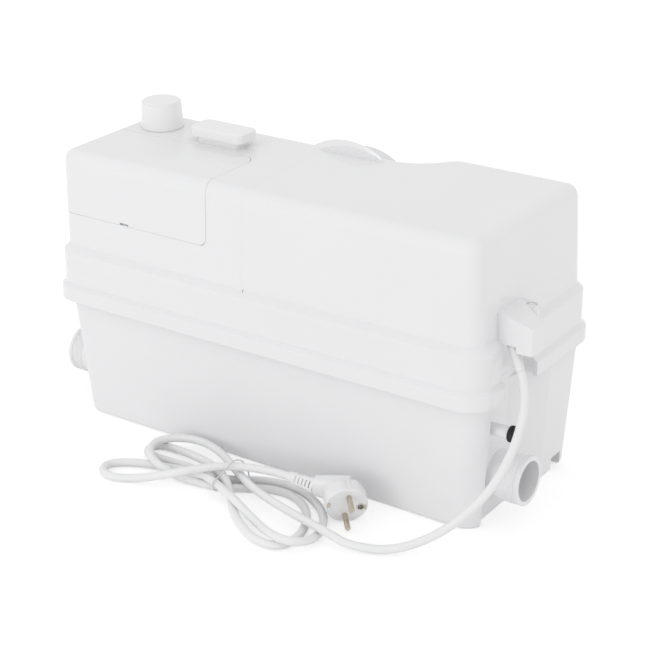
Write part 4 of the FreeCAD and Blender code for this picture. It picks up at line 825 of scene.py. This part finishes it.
# %% Tie
TIE_RADIUS = 0.6 * MM
TIE_PLACE = (3.0, -114.0)
TIE_TURN = math.radians(-10.0)
TIE_ARCH = [(15.6, 1.0), (15.6, 8.0), (10.0, 21.5), (2.0, 27.0), (-4.5, 27.0), (-15.0, 20.6),
            (-22.0, 18.0), (-27.5, 17.0), (-28.5, 11.0), (-25.0, 6.2), (-18.0, 4.6)]

tie_points = [(TIE_PLACE[0] - math.sin(TIE_TURN) * u, TIE_PLACE[1] + math.cos(TIE_TURN) * u, z)
              for u, z in TIE_ARCH]
tie = round_line("hank_tie", tie_points, TIE_RADIUS, 3, "tie_wire", "cord_tie")
print("tie length", round(tie.data.splines[0].calc_length(), 3), "m")

# %% [markdown]
# ## Lips and seals in the gaps
#
# On the real lid no dark slot shows where moulded edges meet, so one edge probably laps behind the
# other. Here the solids only stand near each other, and the eye would fall through into the dark
# housing. The solids stay as they are. Thin upright walls close the gap under the lid's pocket,
# the gap at the rim and the seam round the access cover. Each is a flat path with a thickness and
# two levels.

# %% Lips and seals
LIP_THICK = 1.2
LIP_LEVELS = (126.05, 129.4)
LIP_CORNER_R = 5.1
RIM_LEVELS = (119.2, 129.4)
SEAL_THICK = 0.26
SEAL_LEVELS = (258.6, 260.45)
FOOT_SEAL_DEEP = 1.75
FOOT_SEAL_LEVELS = (202.02, 202.28)
CORNER_STEPS = 6


def corner_arc(centre, start, end):
    """Places round a corner of the pocket, from one angle in degrees to another."""
    angles = [math.radians(start + (end - start) * k / CORNER_STEPS)
              for k in range(CORNER_STEPS + 1)]
    return [(centre[0] + LIP_CORNER_R * math.cos(a), centre[1] + LIP_CORNER_R * math.sin(a))
            for a in angles]


def curved_wall(name, path, thick, levels):
    """An upright wall of lid plastic along a flat path, with its thickness to the left."""
    rings = []
    for k, (x, y) in enumerate(path):
        before, after = path[max(k - 1, 0)], path[min(k + 1, len(path) - 1)]
        way = Vector((after[0] - before[0], after[1] - before[1])).normalized()
        near, far = Vector((x, y)), Vector((x - way.y * thick, y + way.x * thick))
        rings.append([(place.x * MM, place.y * MM, z * MM)
                      for place, z in ((far, levels[0]), (far, levels[1]),
                                       (near, levels[1]), (near, levels[0]))])
    finished_piece(name, ring_mesh(name, rings), "lid_plastic", smooth=False)
    print(name, "stands from", levels[0], "to", levels[1])


LIP_PATH = [(226.4, -44.6)]
LIP_PATH += corner_arc((217.7, -39.5), -90.0, -180.0) + corner_arc((217.7, 4.6), 180.0, 90.0)
LIP_PATH += [(226.4, 9.7)]
curved_wall("pocket_lip", LIP_PATH, LIP_THICK, LIP_LEVELS)
curved_wall("rim_gap_fill", [(226.05, 9.8), (226.95, 9.8)], LIP_THICK, RIM_LEVELS)
curved_wall("cover_seal_back", [(-203.0, 4.32), (-72.0, 4.32)], SEAL_THICK, SEAL_LEVELS)
curved_wall("cover_seal_side", [(-53.32, -59.0), (-53.32, -13.0)], SEAL_THICK, SEAL_LEVELS)
curved_wall("cover_seal_foot", [(-195.0, -73.95), (-62.0, -73.95)], FOOT_SEAL_DEEP,
            FOOT_SEAL_LEVELS)

# %% [markdown]
# ## A tree that repeats a block round an axis
#
# The band round the pan sleeve is pressed with a row of slots and the drain cap has fine ribs for
# the fingers. Both are one small block that stands many times round an axis. A loop in Python
# could place them too, but Geometry Nodes say it in a few nodes: a circle gives the places, a cube
# is put on each, and every cube is turned to face outwards. The sizes are named inputs of the
# tree, so one builder serves both pieces.

# %% Trees and what grows from them
def start_tree(name, sizes):
    """A Geometry Nodes tree with named number inputs; returns its inputs as wires."""
    tree = bpy.data.node_groups.new(name, "GeometryNodeTree")
    tree.is_modifier = True
    tree.interface.new_socket("Geometry", in_out="INPUT", socket_type="NodeSocketGeometry")
    for label in sizes:
        tree.interface.new_socket(label, in_out="INPUT", socket_type="NodeSocketFloat")
    tree.interface.new_socket("Geometry", in_out="OUTPUT", socket_type="NodeSocketGeometry")
    entry = tree.nodes.new("NodeGroupInput")
    return Wire(tree), {socket.name: Wire(tree, socket) for socket in entry.outputs if socket.name}


def end_tree(start, shape, finish):
    """Makes instances real, gives them their finish and ends the tree."""
    real = start.node("GeometryNodeRealizeInstances", None, {0: shape})
    dressed = start.node("GeometryNodeSetMaterial", None,
                         {"Geometry": real, "Material": FINISHES[finish]})
    start.node("NodeGroupOutput", None, {0: dressed})
    return start.tree


def grown(name, tree, sizes, finish, body, placed):
    """Runs a tree with its sizes and keeps the result as a plain mesh on a body."""
    seed = bpy.data.objects.new("seed", bpy.data.meshes.new("seed"))
    bpy.context.scene.collection.objects.link(seed)
    modifier = seed.modifiers.new("shape", "NODES")
    modifier.node_group = tree
    for socket in tree.interface.items_tree:
        if socket.in_out == "INPUT" and socket.name in sizes:
            modifier[socket.identifier] = float(sizes[socket.name])
    mesh = evaluated_mesh(seed)
    bpy.data.objects.remove(seed)
    mesh.transform(placed)
    finished_piece(name, mesh, finish, body)
    print(name, "faces", len(mesh.polygons))


print("finishes that a tree can set:", len(FINISHES))

# %% A tree for blocks round an axis
def blocks_round(name, finish):
    """Blocks round the Z axis: Count of them at a Radius, each with its sizes and a Turn."""
    start, size = start_tree(name, ["Count", "Radius", "Along", "Across", "Out", "Turn"])
    circle = start.node("GeometryNodeMeshCircle", {"fill_type": "NONE"},
                        {"Vertices": size["Count"], "Radius": size["Radius"]})
    place = start.node("GeometryNodeInputPosition")
    block_size = start.node("ShaderNodeCombineXYZ", None,
                            {"X": size["Out"], "Y": size["Across"], "Z": size["Along"]})
    cube = start.node("GeometryNodeMeshCube", None, {"Size": block_size})
    lean = start.node("ShaderNodeCombineXYZ", None, {"X": size["Turn"], "Y": 0.0, "Z": 0.0})
    leant = start.node("GeometryNodeTransform", None, {"Geometry": cube, "Rotation": lean})
    facing = start.node("FunctionNodeAlignEulerToVector", {"axis": "X"}, {"Vector": place})
    stood = start.node("GeometryNodeInstanceOnPoints", None,
                       {"Points": circle, "Instance": leant, "Rotation": facing})
    return end_tree(start, stood, finish)


print("a builder of trees is ready:", blocks_round.__name__)

# %% [markdown]
# ## Band slots and cap ribs
#
# The band's slots lean like the thread of the screw that pulls it tight. The drain cap's ribs are
# straight and few. Each set grows round Z and is then turned onto its own axis: the sleeve's runs
# along Y, and the cap's along X. The ribs ride on the drain cap, so they come off with it.

# %% Clamp slots and drain cap ribs
BAND_PLACE = Vector((-4.0, 90.5, 198.0)) * MM
BAND_SLOTS = {"Count": 132, "Radius": 54.9 * MM, "Along": 4.6 * MM, "Across": 1.1 * MM,
              "Out": 0.5 * MM, "Turn": 0.35}
DRAIN_CAP_PLACE = Vector((238.6, -45.5, 90.0)) * MM
CAP_RIBS = {"Count": 24, "Radius": 6.85 * MM, "Along": 3.6 * MM, "Across": 0.7 * MM,
            "Out": 0.7 * MM, "Turn": 0.0}

along_y = Matrix.Translation(BAND_PLACE) @ Matrix.Rotation(math.radians(-90.0), 4, "X")
along_x = Matrix.Translation(DRAIN_CAP_PLACE) @ Matrix.Rotation(math.radians(90.0), 4, "Y")
grown("clamp_slots", blocks_round("Band slots", "cap_plastic"), BAND_SLOTS, "cap_plastic",
      "station", along_y)
grown("drain_cap_ribs", blocks_round("Cap ribs", "black_plastic"), CAP_RIBS, "black_plastic",
      "drain_cap", along_x)

# %% [markdown]
# ## Floor and backdrop
#
# A catalogue photo stands the object on white. More light would whiten the object too, so white is
# made where the camera looks: rays from the camera, and those let through by a surface, see a
# floor that glows a little and a white world. The floor reaches white and still keeps a soft
# shadow. Mirrored rays see less of the white world, so the glossy lid shows its cap and vent.

# %% Floor
FLOOR_HALF = 6.0
FLOOR_GAP = 0.2 * MM
FLOOR_PAPER = 0.5
FLOOR_GLOW = 0.60
FLOOR_BOUNCE = 0.88


def seen_directly(start, mirrored_share=1.0):
    """1 for camera and transmitted rays, a share for mirrored ones, 0 for the rest."""
    seen = start.node("ShaderNodeLightPath", out="Is Camera Ray")
    mirrored = start.node("ShaderNodeLightPath", out="Is Glossy Ray")
    through = start.node("ShaderNodeLightPath", out="Is Transmission Ray")
    return (seen + mirrored * mirrored_share + through).clipped()


def make_floor():
    corners = [(x * FLOOR_HALF, y * FLOOR_HALF, -FLOOR_GAP)
               for x, y in ((-1, -1), (1, -1), (1, 1), (-1, 1))]
    mesh = bpy.data.meshes.new("floor")
    mesh.from_pydata(corners, [], [(0, 1, 2, 3)])
    floor = bpy.data.objects.new("floor", mesh)
    bpy.context.scene.collection.objects.link(floor)
    start = start_finish("floor_white")
    paper = start.node("ShaderNodeBsdfDiffuse", None, {"Color": grey(FLOOR_PAPER)})
    glow = start.node("ShaderNodeEmission", None, {"Color": grey(1.0), "Strength": FLOOR_GLOW})
    bright = start.node("ShaderNodeAddShader", None, {0: paper, 1: glow})
    plain = start.node("ShaderNodeBsdfDiffuse", None, {"Color": grey(FLOOR_BOUNCE)})
    mixed = start.node("ShaderNodeMixShader", None, {0: seen_directly(start), 1: plain, 2: bright})
    start.node("ShaderNodeOutputMaterial", None, {"Surface": mixed})
    mesh.materials.append(FINISHES["floor_white"])


make_floor()
print("floor", 2 * FLOOR_HALF, "m wide")

# %% World
MIRRORED_WHITE = 0.1
SKY_STRENGTH = 0.90


def make_world():
    world = bpy.data.worlds.new("studio")
    world.use_nodes = True
    world.node_tree.nodes.clear()
    start = Wire(world.node_tree)
    sky = start.node("ShaderNodeBackground", None, {"Color": grey(1.0), "Strength": SKY_STRENGTH})
    white = start.node("ShaderNodeBackground", None, {"Color": grey(1.0), "Strength": 1.0})
    mixed = start.node("ShaderNodeMixShader", None,
                       {0: seen_directly(start, MIRRORED_WHITE), 1: sky, 2: white})
    start.node("ShaderNodeOutputWorld", None, {"Surface": mixed})
    bpy.context.scene.world = world


make_world()
print("sky strength", SKY_STRENGTH)

# %% [markdown]
# ## Lamps
#
# The light itself stays plain: a soft sky and two large lamps, a stronger one before the long side
# and a weak one to the right. Small or strong lamps would draw hard shadows that the photo doesn't
# have. Both are hidden from mirrored rays, because a glossy lid would show them as glaring discs.

# %% Lamps
# Each row: place in metres, width in metres, power in watts.
LAMPS = {"front": ((-0.6, -2.8, 0.7), 1.6, 11.5), "side": ((2.6, -0.6, 0.9), 1.4, 1.4)}
LIT_PLACE = Vector((0.0, 0.0, 0.1))

for lamp_name, (place, size, power) in LAMPS.items():
    light = bpy.data.lights.new(lamp_name, "AREA")
    light.shape = "DISK"
    light.size = size
    light.energy = power
    lamp = bpy.data.objects.new(lamp_name, light)
    lamp.visible_glossy = False
    aim = (LIT_PLACE - Vector(place)).to_track_quat("-Z", "Y")
    lamp.matrix_world = Matrix.Translation(place) @ aim.to_matrix().to_4x4()
    bpy.context.scene.collection.objects.link(lamp)
bpy.context.scene.view_settings.view_transform = "Standard"
print("lamps:", list(LAMPS))

# %% [markdown]
